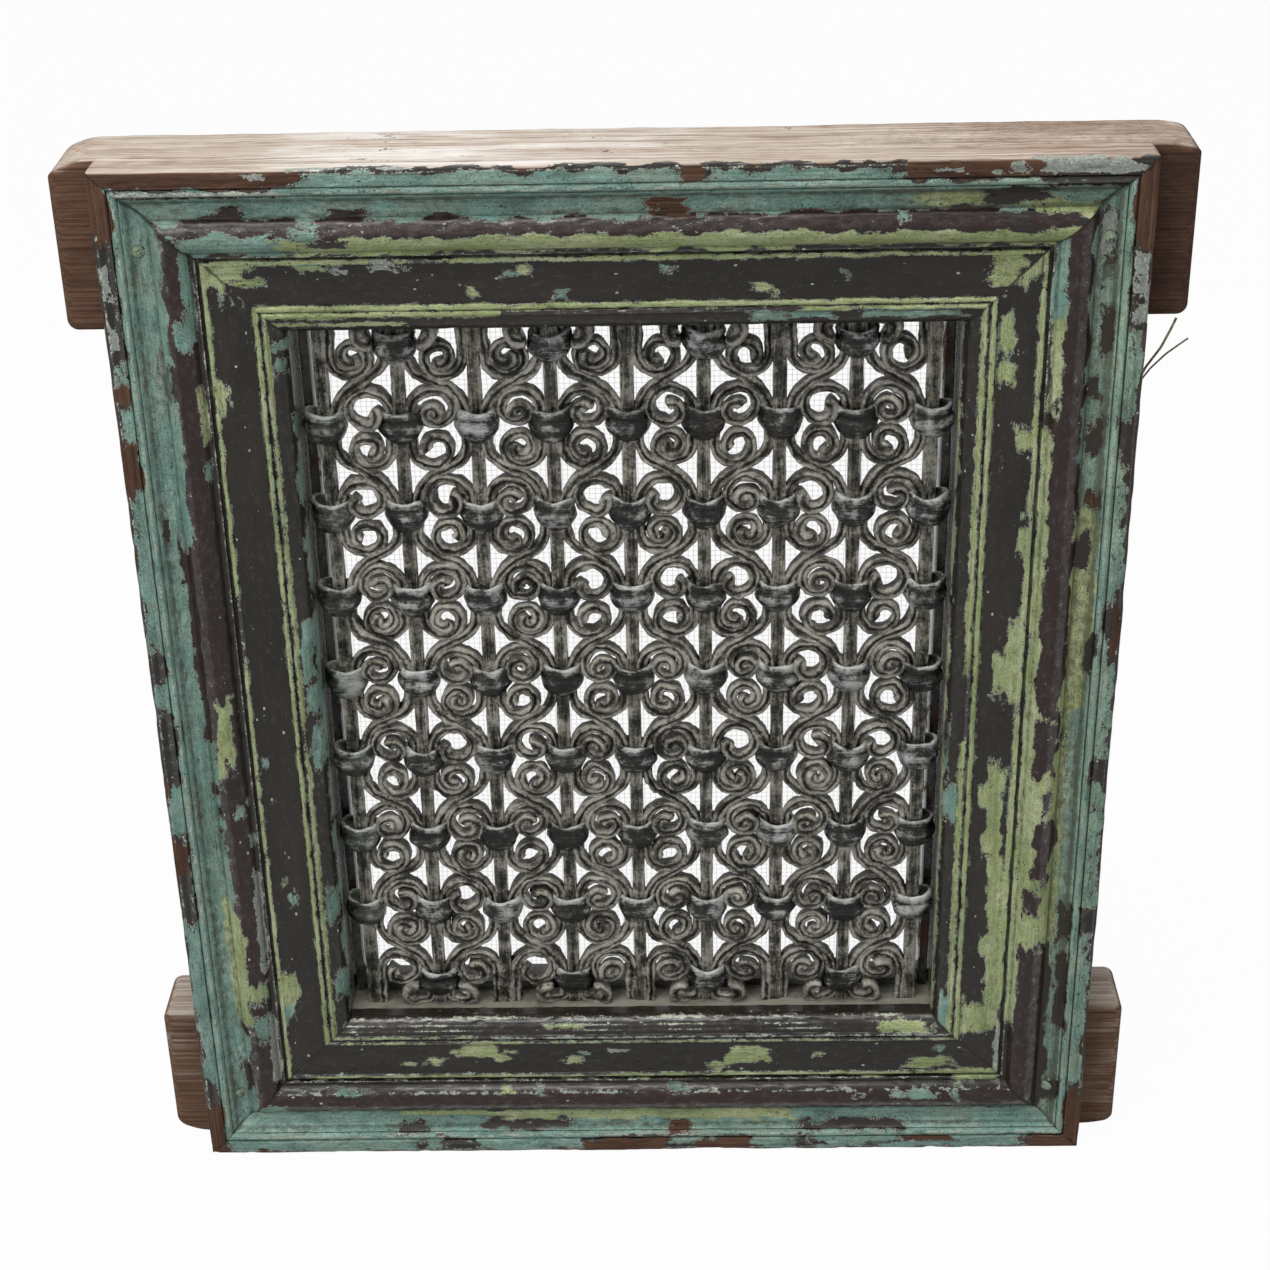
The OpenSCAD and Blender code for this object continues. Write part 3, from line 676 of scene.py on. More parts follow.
# %% [markdown]
# ## The shape of a member
#
# On the real frame each member is one timber, moulded on its front third and mitred there, with the rails'
# back running past the stiles as horns. The finish needs a fine grid on the moulding and a coarse one
# behind it. So each member is two shells in one object: a skin, which is the moulding with its reveal and
# its outer face, and a core, which is the body with the rebate. The skin's hidden back lies inside the
# core.
#
# A member's places are s along it from its middle, u across it from its outer edge and d back from its
# face.


# %% Skin and core
STATIONS = 261
HORN_ROUND = 9.0


def ease(values, low, high):
    """0 below low, 1 above high, smooth between."""
    t = ((values - low) / (high - low)).clip(0, 1)
    return t * t * (3 - 2 * t)


def worn(s, u, d, half, seed):
    """How far the outer arrises and faces of an old member have worn back, in millimetres, as shifts in u
    and d. Long waves wear the outer face, short ones chip the arris, and the same field serves skin and
    core. Near the frame's corners, half a length from the middle, the wear settles at one value, so
    neighbours meet."""
    spot = np.stack((s, d * 2.5, np.full_like(s, seed * 997.0)), -1)
    waves = 0.45 + 0.45 * ripple(spot, 130.0, seed) + 0.3 * ripple(spot, 32.0, seed + 1)
    waves += (0.6 - waves) * (1 - ease(np.abs(np.abs(s) - half), 3, 26))
    inward = waves.clip(0, 2.0) * np.exp(-(u / 7.0) ** 2)
    chips = ease(ripple(spot * (1, 0.3, 1), 24.0, seed + 2), 0.35, 0.9) * 1.3
    backward = (chips + 0.25) * np.exp(-(u / 3.2) ** 2) * (1 - ease(d, 3, 14))
    return inward, backward


def skin_rings(half, seed):
    """Rings of the moulding: the profile at each station, cut off at 45 degrees at both ends. Returns their
    s, u and d. The surface waves a little, as planed wood does after a century, with dents, short gouges
    along the grain and ridges that rubbing has lowered."""
    station = np.linspace(-1, 1, STATIONS)[:, None]
    u, d = (np.broadcast_to(loop[:, k], (STATIONS, len(loop))) for k in range(2))
    s = station * (half - u)
    inward, backward = worn(s, u, d, half, seed)
    inward = np.where(u > W - 2, 0.12 * ripple(np.stack((s, u, d), -1), 60.0, seed + 8) - 0.15, inward)
    s = station * (half - 0.22 - u - inward)
    spot = np.stack((s, u * 2, np.full_like(s, seed * 31.0)), -1)
    seen = ease(u, 2, 10) * (np.arange(len(loop)) < SEEN)
    dents = 0.22 * ripple(spot, 90.0, seed + 5) + 0.13 * ripple(spot, 17.0, seed + 6)
    gouges = ease(ripple(spot * (1.0, 1.6, 1.0), 15.0, seed + 7), 0.55, 1.0) * 0.8
    ridge = RELIEF_AND_GLINT.clip(0, 1) * ease(ripple(spot * (1, 0.1, 1), 26.0, seed + 9), 0.1, 0.8) * 0.8
    return s, u + inward, d + backward + seen * (dents.clip(-0.25, 1) + gouges + ridge)


def lost_corner(s, u, horn):
    """How far a horn's outer corner has gone, in millimetres along u: more at the left ends than at the
    right."""
    return np.where(s < 0, 8.0, 3.0) * ease(np.abs(s), horn - 36, horn) ** 2 * ease(W - u, 60, 130)


def core_section(front):
    """Outline of a member's body with arrises eased by 1 mm and the screen's rebate at the back."""
    back, step = FRAME_D, FRAME_D - 4
    corners = [(0.35, front + 1.0), (0.35, back - 1.4), (0.9, back - 0.5), (2.0, back - 0.1),
               (W - 12.9, back - 0.1), (W - 12.1, back - 0.9), (W - 12.1, step), (W - 1.2, step),
               (W - 0.5, step - 0.7), (W - 0.5, front + 1.2), (W - 1.4, front + 0.3), (W - 2.4, front),
               (2.0, front), (0.8, front + 0.4), (0.35, front + 1.0)]
    return runs(corners, 5.5)[:-1]


def core_rings(stations, half, horn, seed):
    """Rings of a member's body at stations along it. Under the skin its front comes 5 mm forward, and
    towards a horn's end the outline shrinks along a quarter circle, so the end's arrises are worn round."""
    outline = core_section(MITRE_D)
    s = np.repeat(stations[:, None], len(outline), 1)
    to_end = (horn - np.abs(s)).clip(0, HORN_ROUND)
    shrink = HORN_ROUND - np.sqrt(HORN_ROUND ** 2 - (HORN_ROUND - to_end) ** 2)
    middle_d = (MITRE_D + FRAME_D) / 2
    u = W / 2 + (outline[:, 0] - W / 2) * (1 - 1.7 * shrink / W)
    d = middle_d + (outline[:, 1] - middle_d) * (1 - 1.1 * shrink / (FRAME_D - MITRE_D))
    in_front = np.abs(outline[:, 1] - MITRE_D) < 1.5
    forward = in_front * (1 - ease(np.abs(s), FACE_W / 2 - 2, FACE_W / 2 - 0.9))
    inward, _ = worn(s, u, d, half, seed)
    inward += lost_corner(s, u, horn)
    rough = 0.35 * ripple(np.stack((s, u, d), -1), 45.0, seed + 3) * ease(d, MITRE_D + 2, MITRE_D + 12)
    return s, u + inward + 0.05 * (u < 5), d - 5 * forward - 0.4 + rough.clip(-0.4, 0.4) * (d < FRAME_D - 8)


def rail_stations(half, horn):
    """Stations along a rail's core: even behind the face, one just inside its end, and close together on
    the quarter circle of the horn's worn end."""
    tip = horn - HORN_ROUND * (1 - np.cos(np.linspace(0, np.pi / 2, 8)))[1:] - 0.3
    side = (np.linspace(0, half - 2, 90), [half - 0.9], np.linspace(half, horn - 10, 7), tip[::-1])
    side = np.concatenate(side)
    return np.concatenate((-side[:0:-1], side))


print("Points round the core:", len(core_section(MITRE_D)), "and round the skin:", len(loop))

# %% [markdown]
# ## What the finish asks of a member
#
# Paint never reached some parts, sun and rain reached others, and dust lies where nothing wipes it. Each of
# these could be one more list of patches. Here they are masks, 1 where a thing holds, 0 where it doesn't
# and smooth between, and each rule is a sum of masks.


# %% Coats and state
def zones(kind, part, s, u, d, half, horn, seed):
    """Where each place lies on a member, as masks under a name each. Part is 0 for the skin, 1 for the
    core."""
    rail = kind in ("sill", "head")
    zone = SimpleNamespace(s=s, u=u, d=d, half=half, skin=part == 0)
    zone.outer = 1 - ease(u - 1.06 * part * lost_corner(s, u, horn), 0.8, 3.5)
    zone.inner = ease(u, W - 3, W - 1)
    zone.faces_up = {"head": zone.outer, "sill": zone.inner}.get(kind, 0 * u)
    zone.out_end = ease(np.abs(s), FACE_W / 2 - 1, FACE_W / 2 + 1) * rail
    zone.deep = zone.inner * ease(d, 36.6, 38) * (1 - zone.out_end)
    behind = ease(d, 2, 9) * zone.outer + ease(d, 34, 37) * (1 - zone.outer)
    reveal = zone.inner * (np.abs(s) < half - W + 6) if rail else zone.inner
    zone.bare = behind * (1 - reveal)
    zone.broken = {"head": ease(s, 40, 300), "right": 1 - ease(u, 36, 50)}.get(kind, 0 * u)
    zone.ripples = ripple(np.stack((s, u * 3, d * 3), -1), 60.0, seed + 11)
    return zone


def coats_on(kind, patches, zone):
    """The four coats of the patches and the primer, less wherever a mask takes paint away: bare parts,
    horns, the reveal behind the screen's line, the outer band and the parts where the light coat is broken
    up."""
    light, green, dark, maroon, primer = paint(patches, zone.s, zone.u)
    light = light - 1.6 * zone.bare - 0.5 * ease(-zone.ripples, 0.6, 1.2) - 2 * zone.out_end - 2.5 * zone.deep
    band = (1 - ease(zone.u, 12, 15)) * (0.34 + 0.2 * zone.ripples)
    light = light - (0.34 * zone.broken + band) * (1 - zone.deep)
    traces = 0.9 * ease(zone.ripples, 0.5, 1.1) * (1 - zone.faces_up)
    dark = dark + (traces - 1.3) * zone.bare - 2 * zone.out_end - (2.0 if kind == "sill" else 0.5) * zone.deep
    primer = primer - 2 * np.maximum(zone.out_end, zone.bare)
    return np.stack((light, green + 0.25 * zone.broken, dark, maroon), -1), primer


def bleach_and_glare_on(kind, zone):
    """Bleaching with a painted highlight: the head's top is bleached tan and browner to the right, a
    painted highlight makes it silvery white left of its middle, and the horns' ends keep a little of the
    bleaching."""
    head = kind == "head"
    # Painted highlight on the head's top, left of its middle.
    glare_zone = ease(zone.s, -330, -230) * (1 - ease(zone.s, 10, 110)) * head
    top = 0.95 + 0.4 * glare_zone - 0.4 * ease(zone.s, 60, 330) * head - 0.3 * ease(-zone.s, 360, 400)
    ends = np.where(zone.s < 0, 0.11, -0.08) if head else 0.27
    top = top * zone.faces_up * np.maximum(zone.outer, zone.out_end)
    return top + ends * zone.out_end * (1 - zone.faces_up)


def relief_and_light_on(kind, zone):
    """Relief: the profile's ridges and hollows, rubbed lines on the sill and a painted highlight on its
    cove, laid on as scuffs, and dark joints where the reveal ends and where two members meet."""
    if not zone.skin:
        return -0.3 * zone.broken
    relief_and_light = RELIEF_AND_GLINT - 0.3 * zone.broken
    if kind == "sill":
        lines = sum(np.exp(-((zone.u - across) / 0.9) ** 2) for across in (121.8, 125.8, 129.8))
        lines = lines * (zone.d < 29)
        # Painted highlight on the sill's cove, laid on as pale scuffs.
        cove = ease(zone.u, 24, 30) * (1 - ease(zone.u, 34, 39)) * (0.4 + 0.4 * zone.ripples)
        relief_and_light = relief_and_light + lines * (0.8 + 0.6 * zone.ripples) + cove
    reveal_end = (1 - ease(np.abs(zone.d - 36.8), 0.3, 1.1)) * zone.inner
    to_mitre = zone.half - zone.u - np.abs(zone.s)
    return relief_and_light - reveal_end - 0.9 * (1 - ease(to_mitre, 0.1, 1.2 + 0.8 * zone.ripples))


print("Bare share of the outer face, 1 mm and 20 mm behind the front:", ease(np.array((1.0, 20.0)), 2, 9))

# %% [markdown]
# ## Building the four members
#
# All four are laid out as if they were the sill, along s, and then put in their places: the head upside
# down and the stiles upright. Each has its own seed, so no two are worn alike.


# %% Build the members
NO_HORN = 10000.0


def member(name, kind, patches, seed):
    """Skin and core of one member in one object, with the coats and the state of each place."""
    rail = kind in ("sill", "head")
    half = FACE_W / 2 if rail else FACE_H / 2
    horn = FACE_W / 2 + HORN_OUT if rail else NO_HORN
    stations = rail_stations(half, horn) if rail else np.linspace(-1, 1, 110) * (half - W - 0.1)
    made = []
    for part, (s, u, d) in enumerate((skin_rings(half, seed), core_rings(stations, half, horn, seed))):
        zone = zones(kind, part, s, u, d, half, horn, seed)
        coats, primer = coats_on(kind, patches, zone)
        dust = zone.deep * (0.65 if kind == "sill" else 0.45) + 0.12 * zone.faces_up
        state = np.stack((primer, bleach_and_glare_on(kind, zone), relief_and_light_on(kind, zone), dust), -1)
        grain = np.stack((s + 900 * (seed % 5), u + 170 * (seed % 5), d), -1) * MM
        x, z = {"sill": (s, u), "head": (s, FACE_H - u), "left": (u - FACE_W / 2, s + FACE_H / 2),
                "right": (FACE_W / 2 - u, s + FACE_H / 2)}[kind]
        place = np.stack((x, FRONT_Y + d, z), -1)
        made.append(shell(place, grain=grain, coats=coats, state=state))
    return piece(name, made, TIMBER, [name])


members = [member("sill_rail", "sill", SILL_PATCHES, 11),
           member("head_rail", "head", HEAD_PATCHES, 22),
           member("stile_left", "left", LEFT_PATCHES, 33),
           member("stile_right", "right", RIGHT_PATCHES, 44)]
print("Points of each member:", [len(m.data.vertices) for m in members])

# %% [markdown]
# ## Stops before the screen
#
# Four square battens line the opening behind the grille, and the fly screen lies against them. They were
# never painted with care, and dust has dulled them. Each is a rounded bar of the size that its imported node
# has.


# %% Stops
def stop(name, seed):
    """A batten along its longest side: rings of a square with eased arrises, which wave by 0.2 mm."""
    low, high = (np.array(corner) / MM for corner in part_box(name))
    middle, half = (low + high) / 2, (high - low) / 2 - 0.12
    along = int(np.argmax(half))
    across = [k for k in range(3) if k != along]
    t = np.linspace(-1, 1, 120)[:, None]
    angle = (np.arange(24) + 0.5) * 2 * np.pi / 24
    square = np.stack((np.cos(angle), np.sin(angle)), 1)
    square /= (np.abs(square) ** 12).sum(1, keepdims=True) ** (1 / 12)
    place = np.zeros((120, 24, 3))
    place[..., along] = middle[along] + t * half[along]
    for k, axis in enumerate(across):
        place[..., axis] = middle[axis] + half[axis] * square[:, k]
    place[..., across] -= 0.15 * square * (1 + ripple(place, 40.0, seed))[..., None]
    grain = place[..., [along] + across] * MM + 0.6 * seed
    wave = ripple(place, 50.0, seed + 1)
    blank = np.zeros(wave.shape)
    coats = np.stack((blank - 1.4, blank, 0.5 + 0.5 * wave, blank), -1)
    state = np.stack((blank - 1, blank + 0.05, blank - 0.15, 0.5 + 0.2 * wave), -1)
    batten = shell(place, grain=grain, coats=coats, state=state)
    return piece(name, [batten], TIMBER, [name])


stops = [stop(f"stop_{where}", k + 1) for k, where in enumerate(("left", "right", "head", "sill"))]
print("Stops built:", len(stops))

# %% [markdown]
# ## Pegs through the corners
#
# A peg pins each tenon. Its ends were cut off along the wood and painted over, and the wood has since
# shrunk round them, so they stand a little proud.


# %% Corner pegs
def peg(x, z, seed):
    """A tapered round peg along Y: radius over depth, in 9 rings of 28 points, with domed ends."""
    depth = np.array((8.4, 8.5, 9.2, 30, 60, 92.2, 92.7, 92.9, 92.95))[:, None]
    radius = np.array((1.0, 3.6, 4.9, 5.0, 5.0, 5.0, 4.9, 3.9, 1.0))[:, None]
    turn = np.linspace(0, 2 * np.pi, 28, endpoint=False)
    rough = 1 + 0.04 * np.sin(3 * turn + seed) + 0.02 * np.sin(7 * turn)
    tilt = 0.55 * np.cos(turn) * (depth < 12) * radius * (1 if x < 0 else -1)
    place = np.stack((x + radius * rough * np.cos(turn), FRONT_Y + np.maximum(depth + tilt, 3) + 0 * turn,
                      z + radius * rough * np.sin(turn)), -1)
    front = (depth < 12) + 0 * turn
    coats = np.stack((front * 1.2 - 1, 0.5 * front, front * 2 - 1.0, 0 * front), -1)
    state = np.stack((0 * front - 1, 0.2 + 0 * front, (radius > 4.5) * -0.8 - 0.1 + 0 * turn, 0 * front), -1)
    return shell(place, grain=place[..., (1, 0, 2)] * MM, coats=coats, state=state)


peg_at = [(x, z) for x in (-FACE_W / 2 + 31, FACE_W / 2 - 31) for z in (62, FACE_H - 62)]
peg_shells = [peg(x, z, k) for k, (x, z) in enumerate(peg_at)]
piece("corner_pegs", peg_shells, TIMBER, ["corner_pegs"])
print("Pegs at x and z:", peg_at)

# %% [markdown]
# ## Iron that has been handled for a century
#
# The grille was forged from bar, never filed smooth, and has stood in dust and old oil. Its colour isn't
# rust but a brown grey, paler where a thumb or a cloth has rubbed it, with painted highlights on the ridges,
# and nearly black in the grooves, from dirt and painted shade. The collars are a little bluer and shinier,
# the outermost ones greenish. One recipe serves both, with other colours.
#
# The attribute `work` holds the relief with its painted shade and highlights, from -1 in a groove or on a
# shaded side to 1 on a ridge, a tint for each piece, and how green it is.

# %% The irons' finishes
VERDIGRIS, RUST, DIRT_AND_SHADE, IRON_DUST = hue("66705c"), hue("54473a"), hue("131210"), hue("8b867a")


def iron_finish(name, deep, middle, rubbed, dull, skin=1.0):
    """Forged metal: a mottled skin, drawn lines, rubbed ridges with painted highlights, grooves darkened
    by dirt and painted shade, dust where it can lie and scale that pits it. The attribute `lay` runs along
    the way in which the piece was drawn. Dull is the roughness, and skin says how rough-forged it is: 1 for
    a bar, less for a smooth collar."""
    f = Finish(name)
    place = f.node("ShaderNodeTexCoord", out="Object")
    lay = f.attribute("lay")
    relief_and_light, tint, green = f.channels("work")[:3]
    mottle = f.noise(place, (75.0, 75.0, 75.0), 6.0, 0.65)
    grit = f.noise(place, (420.0, 420.0, 420.0), 4.0, 0.65)
    drawn = f.noise(lay, (38.0, 480.0, 480.0), 5.0, 0.62)
    fibre = f.noise(lay, (90.0, 1500.0, 1500.0), 3.0, 0.6)
    scale = f.cells(place + (mottle * 0.01), (210.0, 210.0, 150.0))
    normal = f.node("ShaderNodeNewGeometry", out="Normal")
    up = f.node("ShaderNodeSeparateXYZ", sockets={0: normal}, out=2)
    stain = f.noise(place, (19.0, 19.0, 19.0), 4.0, 0.55)
    lines = 0.2 + 0.35 * skin
    shade = mottle * 0.7 + grit * (0.35 * skin) + drawn * lines + fibre * 0.2 + stain * 0.35 + tint * 0.14
    mid = 0.73 + 0.37 * skin
    colour = f.ramp((shade + relief_and_light * 0.07 - mid) * 2 + 0.5, (0.24, deep), (0.5, middle), (0.84, rubbed))
    colour = f.mix((green + (mottle - 0.5) * 0.8).above(0.45, 0.8) * 0.5, colour, VERDIGRIS)
    rust = (stain * 0.6 + drawn * 0.5 + (grit - 0.5) * 0.5).above(0.57, 0.7)
    colour = f.mix(rust * 0.4, colour, RUST)
    # Rubbed colour on ridges: partly wear, partly a painted highlight.
    worn = relief_and_light * 0.4 + (drawn - 0.5) * (lines * 2) + (mottle - 0.5) * 2.4 + (grit - 0.5) * skin
    worn = worn.above(0.12, 0.8)
    colour = f.mix(worn * 0.85, colour, rubbed)
    # Darker in grooves, on the sides and backs of straps and in and under the collars: partly dirt, partly
    # painted shade.
    dark = (grit - 0.5) * (-0.8 * skin) - (drawn - 0.5) * (lines * 2) - relief_and_light * 0.55 - (mottle - 0.5) * 1.8
    colour = f.mix(dark.above(0.1, 0.7) * 0.9, colour, DIRT_AND_SHADE)
    dust = (up * 0.7 + (grit - 0.5) * 1.3 + (mottle - 0.5) * 0.8).above(0.3, 1.0)
    colour = f.mix(dust * 0.3, colour, IRON_DUST)
    rough = dull + (grit - 0.5) * (0.5 * skin) + (drawn - 0.5) * 0.3 + dust * 0.2 - worn * 0.1
    height = mottle * (1.2 + 0.6 * skin) + grit * (0.6 * skin) - scale.above(0.3, 0.1) * (0.18 * skin)
    height = height + drawn * (0.1 + 1.0 * skin) + fibre * (0.15 * skin)
    f.feed(f.shader.inputs["Specular IOR Level"], 0.25)
    return f.finished(colour, rough, f.bump(height, 1.6, 1.0), metal=0.25)


FORGED = iron_finish("forged_iron", hue("201f1a"), hue("57544b"), hue("a9a69c"), 0.32)
COLLAR = iron_finish("collar_metal", hue("121211"), hue("2d2d2a"), hue("aaadaa"), 0.18, 0.4)
print("Iron finish nodes:", len(FORGED.node_tree.nodes))

# %% [markdown]
# ## Upright bars
#
# Each bar is a square, drawn out under the hammer, so its sides swell and sink by a few tenths of a
# millimetre and it turns slightly along its way. A sweep of a rounded square does that, ring by ring.


# %% Bars
def bar_rings(b):
    """Rounded squares of 20 points at 135 heights. Side, place and turn of each ring come from slow
    ripples."""
    low, high = (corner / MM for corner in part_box(f"bar_{b}"))
    z = np.linspace(low.z, high.z, 135)[:, None]
    turn = np.linspace(0, 2 * np.pi, 20, endpoint=False) + np.pi / 20
    round_ = (np.abs(np.cos(turn)) ** 7 + np.abs(np.sin(turn)) ** 7) ** (-1 / 7)
    height = np.concatenate((z, np.full_like(z, b * 311.0), np.zeros_like(z)), 1)
    side = (BAR_SIDE / 2 - 0.25) * (1 + 0.035 * ripple(height, 31.0, 60)[:, None])
    twist = 0.035 * ripple(height, 260.0, 61)[:, None]
    middle_x = BAR_CENTRES[b - 1].x + 0.35 * ripple(height, 210.0, 62)[:, None]
    middle_y = GRILLE_Y + 0.3 * ripple(height, 150.0, 63)[:, None]
    x = side * round_ * np.cos(turn + twist) + middle_x
    y = side * round_ * np.sin(turn + twist) + middle_y
    place = np.stack((x, y, z + 0 * x), -1)
    place[..., :2] += 0.16 * ripple(place, 9.0, 64)[..., None]
    # Lighter arrises, partly rubbed and partly a painted highlight, and slightly darker flat faces.
    relief_and_light = np.broadcast_to((round_ - 1.12) * 4, x.shape)
    tint = np.full(x.shape, 0.25) + 0.25 * ripple(height, 90.0, 65)[:, None]
    green = np.full(x.shape, 0.5 if b in (1, BARS) else 0.0)
    return shell(place, work=np.stack((relief_and_light, tint, green), -1), lay=place[..., (2, 0, 1)] * MM)


for b in range(1, BARS + 1):
    piece(f"bar_{b}", [bar_rings(b)], FORGED, [f"bar_{b}"])

# %% [markdown]
# ## The way of a strap
#
# A smith bends a strap in a few moves: so many degrees round such a horn, so far straight on. A way is
# written here as the same list of moves, and walking it gives the points. The numbers repeat the packed
# model's, so the looks lie on its straps, but the steps are finer.


# %% Walks
STRAP_T = 5.0
STRAP_OFF = (BAR_SIDE + STRAP_T) / 2
LEAVE_R, SWAY_TURN = 22.0, 62
CURL_SHARES = (0.54, 0.46, 0.40, 0.285, 0.22, 0.16, 0.115)
UPPER_REACH, LOWER_REACH, UPPER_CROWN, LOWER_CROWN = 31.5, 29.0, 33.0, 28.5


def walk(place, heading, moves):
    """Points from a place in x and z. A move is a radius and a turn in degrees, or 0 and a length. Bends
    run along a circle whose middle is one radius to the side, straights along the heading."""
    way = [np.array([place], float)]
    heading = np.radians(heading)
    for radius, amount in moves:
        at = way[-1][-1]
        if radius == 0:
            part = at + np.outer(np.linspace(0, amount, 4)[1:], (np.cos(heading), np.sin(heading)))
        else:
            turned = heading + np.radians(np.linspace(0, amount, max(2, int(abs(amount) // 7)) + 1)[1:])
            signed = np.copysign(radius, amount)
            bend = np.stack((np.sin(turned) - np.sin(heading), np.cos(heading) - np.cos(turned)), 1)
            part = at + signed * bend
            heading = turned[-1]
        way.append(part)
    return np.concatenate(way)


def hand(b, r, k):
    """A chance from 0 to 1 for bar b, row r and part k: the fractional part of a large sine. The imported
    model takes its chances the same way, so the same curls are long or short."""
    value = np.sin(np.radians(127.1 * b + 311.7 * r + 74.7 * k)) * 437.58
    return value - np.floor(value)


sway_x = BAR_PITCH - 2 * STRAP_OFF
sway_z = ROW_PITCH - COLLAR_H
turn_sin, turn_cos = np.sin(np.radians(SWAY_TURN)), np.cos(np.radians(SWAY_TURN))
bend_sum = (sway_z * turn_sin - sway_x * turn_cos) / (1 - turn_cos)
sway_run = (sway_x - bend_sum * (1 - turn_cos)) / turn_sin


def curl_way(b, r, side, reach, crown):
    """One curl of a C-scroll: up beside its bar, over and in, in quarter bends that tighten."""
    bends = 5 + int(hand(b, r, side) * 3)
    turns = [-90.0] * (bends - 1) + [-40 - 45 * hand(b, r, 3 + side)]
    moves = [(share * reach, turn) for share, turn in zip(CURL_SHARES, turns)]
    return walk((STRAP_OFF, crown - CURL_SHARES[0] * reach), 90, moves)


def scroll_way(b, r, side):
    """A whole C-scroll from its upper eye to its lower eye, or half of one out of the timber at the end
    rows."""
    upper = curl_way(b, r, side, UPPER_REACH, UPPER_CROWN)
    lower = curl_way(b, r, 10 + side, LOWER_REACH, LOWER_CROWN) * (1, -1)
    if r == 0:
        return np.concatenate(([[STRAP_OFF, 29.0]], lower))
    if r == ROWS - 1:
        return np.concatenate(([[STRAP_OFF, -29.0]], upper))
    return np.concatenate((upper[::-1], lower))


def row_z(r):
    """The height of row r, counted from the top: rows stand one pitch apart round the face's middle."""
    return FACE_H / 2 + ((ROWS - 1) / 2 - r) * ROW_PITCH


def weave_way(g):
    """A serpentine strap: an end curl, eight sways from collar to collar, and an end curl, from bar g."""
    curl = walk((0, 0), 90, [(5, -90), (0, 7), (7, -90), (5.95, -90), (4.55, -40)])
    sway = walk((0, 0), -90, [(LEAVE_R, SWAY_TURN), (0, sway_run), (bend_sum - LEAVE_R, -SWAY_TURN)])
    pitch = 2 * STRAP_OFF + sway_x
    side = [(g + r) % 2 for r in range(ROWS)]
    x = [pitch - STRAP_OFF if s else STRAP_OFF for s in side]
    ways = [(curl * (-1 if side[0] else 1, 1) + (x[0], row_z(0) + COLLAR_H / 2))[::-1]]
    for r in range(ROWS - 1):
        ways.append(sway * (-1 if side[r] else 1, 1) + (x[r], row_z(r) - COLLAR_H / 2))
    ways.append(curl * (-1 if side[-1] else 1, -1) + (x[-1], row_z(ROWS - 1) - COLLAR_H / 2))
    return np.concatenate(ways)


print("A sway runs straight for", round(float(sway_run), 1), "mm")

# %% [markdown]
# ## Sweeping the strap
#
# The strap isn't a plain flat: its front edge was swaged between grooved tools, which left two ridges with
# a hollow between them. That catches the light along every curl, so it is modelled, not only bumped. The
# section follows the way with its depth always front to back, thins out at the tips and closes over them.

# %% Straps
SECTION = np.array(((-3.9, -4.2), (-3.1, -5.4), (-1.9, -5.7), (-0.8, -5.0), (0.1, -4.0), (0.9, -4.8),
                    (1.8, -5.5), (3.0, -5.2), (3.9, -4.0), (4.1, -2.8), (3.5, -1.5), (3.7, 2.4),
                    (3.1, 4.6), (0.0, 5.3), (-3.1, 4.6), (-3.7, 2.4), (-3.5, -1.5), (-4.1, -2.8)))
GROOVE = np.array((0, 0, 0.1, 0.6, 1.2, 0.6, 0.1, 0, 0, 0, 0, 0, 0, 0, 0, 0, 0, 0))
# Front ridges lighter, partly rubbed and partly a painted highlight; the groove darker with dirt and painted
# shade; the sides and back darker with painted shade.
SECTION_RELIEF_AND_LIGHT = np.array((0.3, 1.0, 0.7, -0.4, -1.2, -0.4, 0.7, 1.0, 0.3,
                           -0.1, -1.0, -0.8, -0.7, -0.6, -0.7, -0.8, -1.0, -0.1))


def stations(way):
    """Even steps along a way, and a few more at its tips. Returns how far along each lies, the whole
    length, the places and the unit directions there, measured over 3.6 mm so that they turn smoothly."""
    apart = np.linalg.norm(np.diff(way, axis=0), axis=1)
    way = way[np.concatenate(([True], apart > 0.01))]
    gone = np.concatenate(([0], np.cumsum(np.linalg.norm(np.diff(way, axis=0), axis=1))))
    total = gone[-1]

    def at(t):
        return np.stack((np.interp(t, gone, way[:, 0]), np.interp(t, gone, way[:, 1])))

    even = np.linspace(0, total, int(total / 2.1) + 2)
    tips = np.array((0.15, 0.5, 1.1))
    t = np.unique(np.concatenate((even, tips, total - tips)))
    reach = at(t + 1.8) - at(t - 1.8)
    return t, total, at(t), reach / np.linalg.norm(reach, axis=0)


